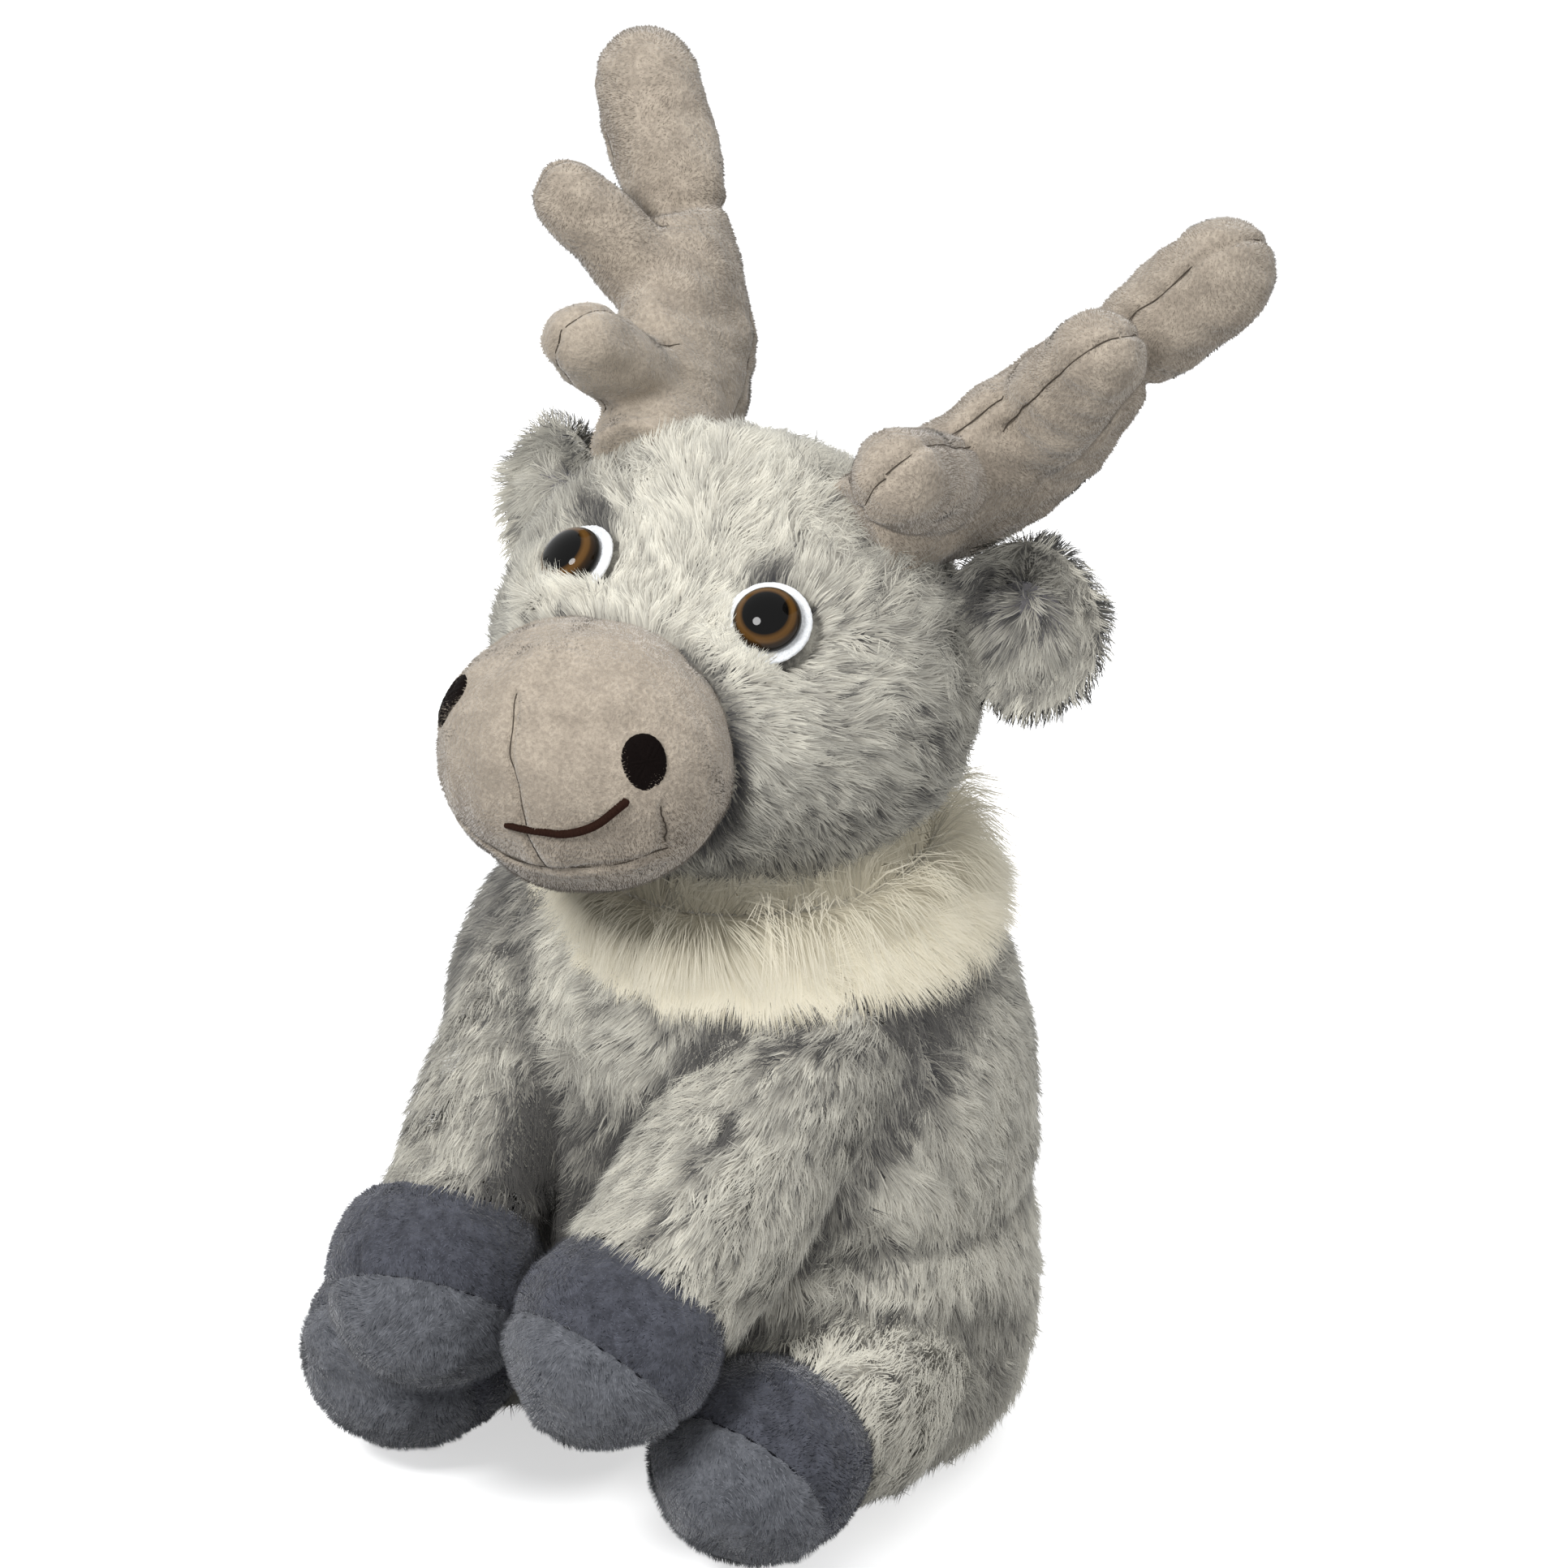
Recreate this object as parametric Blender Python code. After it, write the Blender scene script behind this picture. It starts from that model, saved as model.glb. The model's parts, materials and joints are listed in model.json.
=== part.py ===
"""Seated plush deer, built as cut and sewn pieces round their stuffing.

Metres, +Z up. The deer faces -Y and its left is +X. The origin is the centre of the
flat underside that it sits on.
"""
import bpy
import bmesh
from math import cos, pi, radians, sin
from mathutils import Matrix, Vector
from mathutils.bvhtree import BVHTree

for item in list(bpy.data.objects):
    bpy.data.objects.remove(item)

# Cloth and clearances
SKIN = 0.0016
GAP = 0.0003
CUT_OVERRUN = 0.012
TURN_SHARE = 1 / 360

# Torso: height, width and back, and front, each section in shares of the sizes here
BODY_WIDTH = 0.146
BODY_DEPTH = 0.126
BODY_HEIGHT = 0.148
BODY_PROFILE_SHARES = (
    (0.00, 0.78, 0.28), (0.04, 0.88, 0.52), (0.10, 0.94, 0.74), (0.19, 0.98, 0.91),
    (0.33, 1.00, 1.00), (0.53, 1.00, 1.00), (0.71, 0.970, 0.970), (0.82, 0.90, 0.90),
    (0.90, 0.80, 0.80), (0.950, 0.68, 0.68), (0.975, 0.53, 0.53), (0.985, 0.30, 0.30))
PELLET_BAG_HEIGHT = 0.026
BAG_PROFILE_SHARES = (
    (0.00, 0.72, 0.22), (0.25, 0.80, 0.45), (0.60, 0.80, 0.58), (0.88, 0.66, 0.50), (1.00, 0.42, 0.30))

# Neck: a ball of stuffing between two round seats, its middle a little under the shoulders
NECK_BALL_RADIUS = 0.022
NECK_SEAT_GAP = 0.0008
NECK_SINK = 0.004
NECK_PIVOT_HEIGHT = BODY_HEIGHT - NECK_SINK

# Collar of long pile, laid on the shoulders
RUFF_DROP = 0.0155
RUFF_RISE = 0.0035
RUFF_BOTTOM = BODY_HEIGHT - RUFF_DROP
RUFF_TOP = BODY_HEIGHT + RUFF_RISE
RUFF_THICKNESS = 0.0065
RUFF_MOUTH = 0.046
RUFF_LIFT_SHARES = ((0.00, 0.18), (0.18, 0.80), (0.50, 1.00), (0.80, 0.90), (1.00, 0.42))

# Head: sections from back to front, in shares of its half sizes
HEAD_WIDTH = 0.122
HEAD_LIFT = 0.0445
HEAD_LEVEL = BODY_HEIGHT + HEAD_LIFT
HEAD_CENTRE = Vector((0, 0, HEAD_LEVEL))
HEAD_CROWN = 0.057
HEAD_JOWL = 0.045
HEAD_BACK = 0.053
HEAD_DEPTH = 0.111
HEAD_SECTION_SHARES = (
    (0.03, 0.27, 0.32, 0.30), (0.10, 0.53, 0.57, 0.50), (0.22, 0.80, 0.83, 0.76),
    (0.36, 0.96, 0.97, 0.93), (0.46, 1.00, 0.99, 0.99), (0.57, 0.98, 0.86, 1.00),
    (0.68, 0.90, 0.67, 0.96), (0.78, 0.78, 0.53, 0.86), (0.88, 0.66, 0.45, 0.72),
    (0.97, 0.46, 0.32, 0.48))

# Muzzle: a blunt bulb sewn into the front of the head, sections in shares of its half depth
MUZZLE_WIDTH = 0.070
MUZZLE_HEIGHT = 0.061
MUZZLE_DEPTH = 0.062
MUZZLE_CENTRE = HEAD_CENTRE + Vector((0, -0.061, 0.003))
MUZZLE_SECTION_SHARES = (-0.96, -0.80, -0.50, -0.10, 0.30, 0.60, 0.82, 0.95)
MUZZLE_BLUNT_SHARE = 2.15
MUZZLE_OPENING_SHARE = 0.62
NOSTRIL_WIDTH = 0.0105
NOSTRIL_HEIGHT = 0.0130
NOSTRIL_SPACING = 0.055
NOSTRIL_LIFT = 0.011
NOSTRIL_STITCH = 0.0010
MOUTH_WIDTH = 0.034
MOUTH_ASIDE = 0.011
MOUTH_DROP = 0.0073
MOUTH_RISE = 0.0075
MOUTH_THREAD = 0.0014

# Eyes: a domed button with a stem, a felt disc under it and a washer inside
EYE_DIAMETER = 0.016
EYE_DOME_HEIGHT = 0.0052
EYE_DOME_ANGLES = (0, 22.5, 45, 67.5, 78.75)
EYE_RIM_HEIGHT = 0.0012
EYE_STEM_DIAMETER = 0.0042
EYE_STEM_LENGTH = 0.0105
EYE_SPACING = 0.054
EYE_LEVEL = HEAD_LEVEL + 0.030
EYE_SEAT_DEPTH = 0.0005
FELT_DIAMETER = 0.0205
FELT_THICKNESS = 0.0010
WASHER_DIAMETER = 0.014
WASHER_THICKNESS = 0.0015
WASHER_SETBACK = 0.0012
PROBE_REACH = 0.200
PROBE_SPREAD = 0.003

# Ears: a furry cup with a dark lining patch
EAR_WIDTH = 0.041
EAR_HEIGHT = 0.045
EAR_THICKNESS = 0.011
EAR_CENTRE = HEAD_CENTRE + Vector((0.0655, 0.022, 0.0170))
EAR_PIVOT = HEAD_CENTRE + Vector((0.0495, 0.022, 0.0150))
EAR_OFFSET = 0.004
EAR_FACING = Vector((0.30, -0.93, 0.20))
EAR_PROFILE_SHARES = (
    (0.50, -0.40), (0.82, -0.20), (0.97, 0.02), (1.00, 0.20), (0.93, 0.34), (0.84, 0.36),
    (0.70, 0.20), (0.54, 0.06))
LINING_SHARE = 0.50
LINING_THICKNESS = 0.0014
EAR_SWEEP = 14

# Antlers: a beam with a palm, a necked crease and a thick top tine, and two side tines
ANTLER_BASE = HEAD_CENTRE + Vector((0.034, 0.017, 0.042))
ANTLER_PALM = HEAD_CENTRE + Vector((0.046, 0.044, 0.051))
ANTLER_CREASE = HEAD_CENTRE + Vector((0.062, 0.066, 0.072))
ANTLER_TOP = HEAD_CENTRE + Vector((0.0835, 0.0815, 0.0960))
ANTLER_MIDDLE = HEAD_CENTRE + Vector((0.0745, 0.0380, 0.0855))
ANTLER_LOWER = HEAD_CENTRE + Vector((0.0425, -0.0020, 0.0730))
ANTLER_LOWER_LEFT = HEAD_CENTRE + Vector((0.0530, -0.0120, 0.0690))
ANTLER_TOP_LEFT = HEAD_CENTRE + Vector((0.0805, 0.0793, 0.0926))
ANTLER_ROOT_WIDTH = 0.034
ANTLER_PALM_WIDTH = 0.044
ANTLER_THICKNESS = 0.027
CREASE_WIDTH = 0.022
TOP_TINE_WIDTH = 0.0255
MIDDLE_TINE_WIDTH = 0.0185
LOWER_TINE_WIDTH = 0.0185
PALM_TO_CREASE_SHARE = 0.55
CREASE_TO_TOP_SHARE = 0.35
MIDDLE_ROOT_SHARE = 0.3
LOWER_ROOT_SHARE = 0.45
TOP_DOME_SHARES = ((0.55, 0.83), (0.90, 0.42))
TINE_SHARES = ((0, 0, 1.2), (0.55, 0, 1.08), (1, 0, 1), (1, 0.5, 0.86), (1, 0.87, 0.49))
ANTLER_SUNK = 0.012
ANTLER_SWEEP = 6

# Arms, from the shoulder to the tip of the hoof
ARM_SHOULDER = Vector((0.043, -0.014, BODY_HEIGHT - 0.023))
ARM_TIP = Vector((0.0210, -0.1060, 0.0450))
ARM_WIDTH = 0.048
ARM_PIVOT_Y = -0.042
ARM_PIVOT_LIFT = 0.004
ARM_SWEEP = 35

# Hind legs, lying forward on the floor from the hip
LEG_HIP = Vector((0.044, -0.004, 0.033))
LEG_TIP = Vector((0.0520, -0.0890, 0.0245))
LEG_WIDTH = 0.058
LEG_PIVOT_X = 0.073
LEG_PIVOT_Y = -0.014
LEG_SWEEP = 25
HOOF_WIDTH = 0.051
HOOF_HEIGHT = 0.047
HOOF_LENGTH = 0.042
ARM_PROFILE_SHARES = (0.00, 0.80), (0.22, 0.94), (0.50, 1.00), (0.78, 0.99), (1.00, 0.92)
LEG_PROFILE_SHARES = (0.00, 0.85), (0.30, 0.98), (0.60, 1.00), (0.82, 0.92), (1.00, 0.79)
HOOF_PROFILE_SHARES = (0.00, 0.86), (0.18, 0.97), (0.38, 1.00), (0.58, 0.92)
SOLE_PROFILE_SHARES = (0.58, 0.92), (0.76, 0.74), (0.90, 0.48), (0.975, 0.22)

# Tail
TAIL_ROOT = Vector((0.0, 0.055, 0.040))
TAIL_TIP = Vector((0.0, 0.092, 0.060))
TAIL_WIDTH = 0.026
TAIL_THICKNESS = 0.014
TAIL_PIVOT = Vector((0.0, 0.0600, 0.0440))
TAIL_SWEEP = 15
TAIL_PROFILE_SHARES = (0.00, 0.75), (0.30, 1.00), (0.60, 0.92), (0.85, 0.55)

# Facets
BODY_SIDES = 28
HEAD_SIDES = 26
LIMB_SIDES = 16
MUZZLE_SIDES = 20
ANTLER_SIDES = 10
BUTTON_SIDES = 14
BALL_SEGMENTS = 18
BALL_RINGS = 10
STITCH_SIDES = 8
STITCH_STEPS = 14
SWEEP_STEPS = 4
TAPER_SHARE = 0.5
HALF_STEP_SHARE = 0.5


def colour(red, green, blue):
    """Linear colour from 8-bit screen values."""
    return tuple((value / 255) ** 2.2 for value in (red, green, blue)) + (1.0,)


def material(name, tint, roughness):
    made = bpy.data.materials.new(name)
    made.use_nodes = True
    shader = made.node_tree.nodes["Principled BSDF"]
    shader.inputs["Base Color"].default_value = tint
    shader.inputs["Roughness"].default_value = roughness
    shader.inputs["Metallic"].default_value = 0.0
    return made


FUR = colour(160, 158, 150)
CREAM = colour(232, 226, 212)
NAP = colour(176, 162, 148)
SLATE = colour(76, 78, 88)
SOLE_GREY = colour(115, 117, 123)
FIBRE = colour(240, 240, 238)


def ellipse(centre, across, up, sides, start_share=0):
    """Ring of points round a centre, from two half-axis vectors. The first point can
    lie a share of a step along, which keeps it off another piece's corners."""
    angles = [2 * pi * (index + start_share) / sides for index in range(sides)]
    return [centre + across * cos(angle) + up * sin(angle) for angle in angles]


def floored(rings, level):
    """The rings with everything under a level pressed flat on it."""
    return [[Vector((p.x, p.y, max(p.z, level))) for p in ring] for ring in rings]


def surface(rings, first_pole=None, last_pole=None):
    """bmesh of joined rings, with a pole or nothing at each end. Its quads are split
    one way, so that a skin and what fills it have the same facets."""
    bm = bmesh.new()
    loops = [[bm.verts.new(point) for point in ring] for ring in rings]
    for low, high in zip(loops, loops[1:]):
        for index in range(len(low)):
            after = (index + 1) % len(low)
            bm.faces.new((low[index], low[after], high[after]))
            bm.faces.new((low[index], high[after], high[index]))
    for pole, loop in ((first_pole, loops[0]), (last_pole, loops[-1])):
        if pole is None:
            continue
        tip = bm.verts.new(pole)
        for index in range(len(loop)):
            bm.faces.new((loop[index], loop[(index + 1) % len(loop)], tip))
    return bm


def solid(rings, first_pole=None, last_pole=None):
    """Closed bmesh: ends without a pole get a flat cap."""
    bm = surface(rings, first_pole, last_pole)
    open_edges = [edge for edge in bm.edges if len(edge.link_faces) == 1]
    bmesh.ops.holes_fill(bm, edges=open_edges, sides=0)
    bmesh.ops.recalc_face_normals(bm, faces=bm.faces)
    return bm


def shell(outer, inner, outer_pole=None, inner_pole=None):
    """Closed wall between two sets of rings, open at the start, and at the end if
    there are no poles."""
    rings = list(reversed(inner)) + list(outer)
    bm = surface(rings, inner_pole, outer_pole)
    if outer_pole is None:
        open_edges = [edge for edge in bm.edges if len(edge.link_faces) == 1]
        bmesh.ops.bridge_loops(bm, edges=open_edges)
    bmesh.ops.recalc_face_normals(bm, faces=bm.faces)
    return bm


def add(name, bm, look=None, axis=None, smooth=True):
    """Object from a bmesh in world coordinates, its origin on its parent's axis."""
    mesh = bpy.data.meshes.new(name)
    bm.to_mesh(mesh)
    bm.free()
    made = bpy.data.objects.new(name, mesh)
    bpy.context.scene.collection.objects.link(made)
    if axis is not None:
        mesh.transform(Matrix.Translation(-axis.matrix_world.translation))
        made.parent = axis
    if look is None:
        made.hide_render = True
        made.display_type = "WIRE"
    else:
        mesh.materials.append(material(name, *look))
    if smooth:
        mesh.shade_smooth()
        mesh.set_sharp_from_angle(angle=radians(50))
    return made


def empty(name, place, parent=None):
    """Axis marker at a world position."""
    made = bpy.data.objects.new(name, None)
    bpy.context.scene.collection.objects.link(made)
    origin = parent.matrix_world.translation if parent else Vector()
    made.parent = parent
    made.location = place - origin
    bpy.context.view_layer.update()
    return made


def combine(target, other, operation):
    step = target.modifiers.new(operation.lower(), "BOOLEAN")
    step.operation = operation
    step.solver = "EXACT"
    step.object = other


def cut(target, *cutters):
    for cutter in cutters:
        combine(target, cutter, "DIFFERENCE")


def swept(name, make, pivot, direction, angles):
    """Cutters for a fixed neighbour, as a piece turning about an axis meets it."""
    cutters = []
    for angle in angles:
        bm = make()
        back = Matrix.Rotation(radians(-angle), 4, direction)
        move = Matrix.Translation(pivot) @ back @ Matrix.Translation(-pivot)
        bmesh.ops.transform(bm, matrix=move, verts=bm.verts)
        cutters.append(add(f"cutter_{name}_{angle:.0f}", bm))
    return cutters


def steps(first, last):
    return [first + (last - first) * index / SWEEP_STEPS for index in range(SWEEP_STEPS + 1)]


def mirrored(point, side):
    return Vector((point.x * side, point.y, point.z))


def lathe(profile, place, outward, sides=BUTTON_SIDES):
    """Solid turned about an outward axis from (radius, height) points."""
    turn = outward.to_track_quat("Z", "Y").to_matrix()
    across, up = turn @ Vector((1, 0, 0)), turn @ Vector((0, 1, 0))
    rings = []
    for radius, height in profile:
        rings.append(ellipse(place + outward * height, across * radius, up * radius, sides))
    return rings


def turned_solid(profile, place, outward, sides=BUTTON_SIDES):
    return solid(lathe(profile, place, outward, sides))


def turned_ring(profile, place, outward, sides=BUTTON_SIDES):
    """Washer shape: the profile is a closed loop that keeps off the axis."""
    rings = lathe(profile, place, outward, sides)
    bm = surface(rings + rings[:1])
    bmesh.ops.remove_doubles(bm, verts=bm.verts, dist=SKIN * TURN_SHARE)
    bmesh.ops.recalc_face_normals(bm, faces=bm.faces)
    return bm


def torso_ring(level, back, front, grow, sides):
    """Level section of the torso, with shares of its own for its back and its front."""
    ring = []
    for index in range(sides):
        angle = 2 * pi * index / sides
        depth = BODY_DEPTH / 2 * (back if sin(angle) > 0 else front) + grow
        ring.append(Vector(((BODY_WIDTH / 2 * back + grow) * cos(angle), depth * sin(angle), level)))
    return ring


def body_rings(grow, sides=BODY_SIDES):
    """Torso sections from the seat to the shoulders."""
    rings = []
    for height, back, front in BODY_PROFILE_SHARES:
        level = -grow + (BODY_HEIGHT + 2 * grow) * height
        rings.append(torso_ring(level, back, front, grow, sides))
    return rings


def body_solid(grow, sides=BODY_SIDES):
    seat = Vector((0, 0, -grow))
    return solid(body_rings(grow, sides), seat, Vector((0, 0, BODY_HEIGHT + grow)))


def body_half_sizes(level):
    """Torso half width and depth at a height, between its sections."""
    share = min(level / BODY_HEIGHT, BODY_PROFILE_SHARES[-1][0])
    for (low, narrow, _), (high, wide, _) in zip(BODY_PROFILE_SHARES, BODY_PROFILE_SHARES[1:]):
        if share <= high:
            radius = narrow + (wide - narrow) * (share - low) / (high - low)
            break
    return BODY_WIDTH / 2 * radius, BODY_DEPTH / 2 * radius


def head_rings(grow, sides=HEAD_SIDES):
    """Head sections from the nape to the muzzle, rounder above than below."""
    rings = []
    for along, width, crown, jowl in HEAD_SECTION_SHARES:
        place = HEAD_BACK + grow - (HEAD_DEPTH + 2 * grow) * along
        half_width = HEAD_WIDTH / 2 * width + grow
        ring = []
        for index in range(sides):
            angle = 2 * pi * index / sides
            rise = HEAD_CROWN * crown if sin(angle) > 0 else HEAD_JOWL * jowl
            level = HEAD_LEVEL + (rise + grow) * sin(angle)
            ring.append(Vector((half_width * cos(angle), place, level)))
        rings.append(ring)
    return rings


def head_solid(grow, sides=HEAD_SIDES):
    nape = Vector((0, HEAD_BACK + grow, HEAD_LEVEL))
    front = Vector((0, HEAD_BACK - HEAD_DEPTH - grow, HEAD_LEVEL))
    return solid(head_rings(grow, sides), nape, front)


def muzzle_solid(grow, sides=MUZZLE_SIDES):
    """Blunt bulb, round across and flatter at its front."""
    half_depth = MUZZLE_DEPTH / 2 + grow
    rings = []
    for along_share in MUZZLE_SECTION_SHARES:
        size = (1 - abs(along_share) ** MUZZLE_BLUNT_SHARE) ** (1 / MUZZLE_BLUNT_SHARE)
        across = Vector(((MUZZLE_WIDTH / 2 + grow) * size, 0, 0))
        up = Vector((0, 0, (MUZZLE_HEIGHT / 2 + grow) * size))
        rings.append(ellipse(MUZZLE_CENTRE - Vector((0, half_depth * along_share, 0)), across, up, sides))
    reach = Vector((0, half_depth, 0))
    return solid(rings, MUZZLE_CENTRE + reach, MUZZLE_CENTRE - reach)


def neck_ball(grow):
    bm = bmesh.new()
    place = Matrix.Translation((0, 0, NECK_PIVOT_HEIGHT))
    bmesh.ops.create_uvsphere(bm, u_segments=BALL_SEGMENTS, v_segments=BALL_RINGS,
                              radius=NECK_BALL_RADIUS + grow, matrix=place)
    return bm


def limb_frame(root, tip):
    """Direction, sideways axis and upward axis of a limb."""
    along = (tip - root).normalized()
    across = along.cross(Vector((0, 0, 1))).normalized()
    return along, across, across.cross(along)


def limb_rings(root, tip, start, length, profile, width, height, grow, sides=LIMB_SIDES):
    """Limb sections from a distance past the root, swelling by the profile."""
    along, across, up = limb_frame(root, tip)
    rings = []
    for share, size in profile:
        centre = root + along * (start + length * share)
        half_width, half_height = width / 2 * size + grow, height / 2 * size + grow
        start_share = HALF_STEP_SHARE * sides / LIMB_SIDES
        rings.append(ellipse(centre, across * half_width, up * half_height, sides, start_share))
    return rings


def make_limb(kind, side, axis, root, tip, width, profile, cutters):
    """Furry sleeve, slate hoof, sole and the stuffing inside the three of them."""
    label = "left" if side > 0 else "right"
    sleeve_length = (tip - root).length - HOOF_LENGTH
    filling = -SKIN - GAP

    def sleeve(grow, short=0, sides=LIMB_SIDES):
        return limb_rings(root, tip, 0, sleeve_length - short, profile, width, width, grow, sides)

    def hoof(shares, grow, sides=LIMB_SIDES):
        length = HOOF_LENGTH + grow
        return limb_rings(root, tip, sleeve_length, length, shares, HOOF_WIDTH, HOOF_HEIGHT, grow, sides)

    def hoof_tip(grow):
        return tip + limb_frame(root, tip)[0] * grow

    skin = add(f"{kind}_{label}", shell(floored(sleeve(0, GAP), 0), floored(sleeve(-SKIN, GAP), SKIN)),
               (FUR, 0.95), axis)
    cut(skin, *cutters)
    upper = shell(floored(hoof(HOOF_PROFILE_SHARES, 0), 0), floored(hoof(HOOF_PROFILE_SHARES, -SKIN), SKIN))
    cut(add(f"{kind}_hoof_{label}", upper, (SLATE, 0.9), axis), *cutters)
    sole_shares = [(share + GAP / HOOF_LENGTH, size) for share, size in SOLE_PROFILE_SHARES]
    outer = floored(hoof(sole_shares, 0), 0)
    inner = floored(hoof(sole_shares, -SKIN), SKIN)
    sole = shell(outer, inner, hoof_tip(0), hoof_tip(-SKIN))
    add(f"{kind}_sole_{label}", sole, (SOLE_GREY, 0.9), axis)
    rings = sleeve(filling, 0, LIMB_SIDES // 2)[:-1]
    rings += hoof(HOOF_PROFILE_SHARES + SOLE_PROFILE_SHARES[1:], filling, LIMB_SIDES // 2)
    core = solid(floored(rings, -filling), root, hoof_tip(filling))
    cut(add(f"{kind}_stuffing_{label}", core, (FIBRE, 1.0), axis), *cutters)


def make_torso():
    ball = add("cutter_neck_seat", neck_ball(NECK_SEAT_GAP))
    skin = add("body_skin", body_solid(0), (FUR, 0.95))
    cut(skin, add("cutter_body_inside", body_solid(-SKIN)), ball)
    stuffing = add("body_stuffing", body_solid(-SKIN - GAP, BODY_SIDES // 2), (FIBRE, 1.0))
    cut(stuffing, add("cutter_pellet_bag", pellet_bag(GAP, SKIN)), ball)
    add("pellet_bag", pellet_bag(0, 0), (colour(214, 210, 200), 0.8))
    collar = add("ruff", ruff_band(), (CREAM, 0.95))
    cut(collar, add("cutter_shoulders", body_solid(GAP)))


def pellet_bag(grow, drop):
    """Flat bag of pellets on the inside of the seat, its cutter going on down."""
    floor_level = SKIN + GAP
    rings = []
    for height, back, front in BAG_PROFILE_SHARES:
        level = floor_level + (PELLET_BAG_HEIGHT + grow - floor_level) * height
        rings.append(torso_ring(level, back, front, grow, BODY_SIDES // 2))
    if drop:
        down = Vector((0, 0, drop))
        rings.insert(0, [point - down for point in rings[0]])
    return solid(rings, None, Vector((0, 0, PELLET_BAG_HEIGHT + grow)))


def ruff_band():
    """Collar that lies on the shoulders and stands clear of the head above them."""
    outer, inner = [], []
    for height, lift in RUFF_LIFT_SHARES:
        level = RUFF_BOTTOM + (RUFF_TOP - RUFF_BOTTOM) * height
        half_width, half_depth = body_half_sizes(level)
        half_width, half_depth = max(half_width, RUFF_MOUTH), max(half_depth, RUFF_MOUTH)
        thick = RUFF_THICKNESS * lift
        centre = Vector((0, 0, level))
        inner.append(ellipse(centre, Vector((half_width, 0, 0)), Vector((0, half_depth, 0)), BODY_SIDES))
        across = Vector((half_width + thick, 0, 0))
        outer.append(ellipse(centre, across, Vector((0, half_depth + thick, 0)), BODY_SIDES))
    return shell(outer, inner)


def probe(tree, x, z):
    """Point of the front surface at x and z, and its direction over a small patch."""
    forward = Vector((0, 1, 0))
    place = tree.ray_cast(Vector((x, -PROBE_REACH, z)), forward)[0]
    outward = Vector()
    for right, up in ((PROBE_SPREAD, 0), (-PROBE_SPREAD, 0), (0, PROBE_SPREAD), (0, -PROBE_SPREAD)):
        outward += tree.ray_cast(Vector((x + right, -PROBE_REACH, z + up)), forward)[1]
    return place, outward.normalized()


def make_eye(side, place, outward, axis):
    """Button eye, felt disc and washer; returns the cutters for skin and stuffing."""
    label = "left" if side > 0 else "right"
    stem, button = EYE_STEM_DIAMETER / 2, EYE_DIAMETER / 2
    felt_low = -EYE_SEAT_DEPTH + GAP
    button_low = felt_low + FELT_THICKNESS + GAP
    stem_low = button_low - EYE_STEM_LENGTH
    dome = [(button * cos(angle), button_low + EYE_RIM_HEIGHT + EYE_DOME_HEIGHT * sin(angle))
            for angle in map(radians, EYE_DOME_ANGLES)]
    profile = [(stem, stem_low), (stem, button_low), (button, button_low)] + dome
    add(f"eye_{label}", turned_solid(profile, place, outward), (colour(60, 36, 16), 0.08), axis)
    hole, rim = stem + GAP, FELT_DIAMETER / 2
    felt_high = felt_low + FELT_THICKNESS
    loop = [(hole, felt_low), (rim, felt_low), (rim, felt_high), (hole, felt_high)]
    add(f"eye_felt_{label}", turned_ring(loop, place, outward), (colour(238, 238, 236), 0.9), axis)
    washer_high = -SKIN - GAP - WASHER_SETBACK
    washer_low = washer_high - WASHER_THICKNESS
    rim = WASHER_DIAMETER / 2
    loop = [(hole, washer_low), (rim, washer_low), (rim, washer_high), (hole, washer_high)]
    add(f"eye_washer_{label}", turned_ring(loop, place, outward), (colour(235, 235, 230), 0.4), axis)
    seat_rim = FELT_DIAMETER / 2 + GAP
    seat = [(seat_rim, -EYE_SEAT_DEPTH), (seat_rim, CUT_OVERRUN)]
    passage = [(hole, stem_low - GAP), (hole, CUT_OVERRUN)]
    pocket = [(rim + GAP, stem_low - GAP), (rim + GAP, CUT_OVERRUN)]
    return [add(f"cutter_{name}_{label}", turned_solid(shape, place, outward), None, axis)
            for name, shape in (("eye_seat", seat), ("eye_passage", passage), ("eye_pocket", pocket))]


def make_head(axis):
    inside = add("cutter_head_inside", head_solid(-SKIN), None, axis)
    ball = add("cutter_head_seat", neck_ball(NECK_SEAT_GAP), None, axis)
    bulb = add("cutter_muzzle", muzzle_solid(GAP), None, axis)
    skin = add("head_skin", head_solid(0), (FUR, 0.95), axis)
    stuffing = add("head_stuffing", head_solid(-SKIN - GAP, HEAD_SIDES // 2), (FIBRE, 1.0), axis)
    cut(skin, inside, ball, bulb)
    cut(stuffing, ball, bulb)
    tree = BVHTree.FromBMesh(head_solid(0))
    for side in (1, -1):
        place, outward = probe(tree, side * EYE_SPACING / 2, EYE_LEVEL)
        seat, passage, pocket = make_eye(side, place, outward, axis)
        cut(skin, seat, passage)
        cut(stuffing, pocket)


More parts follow.
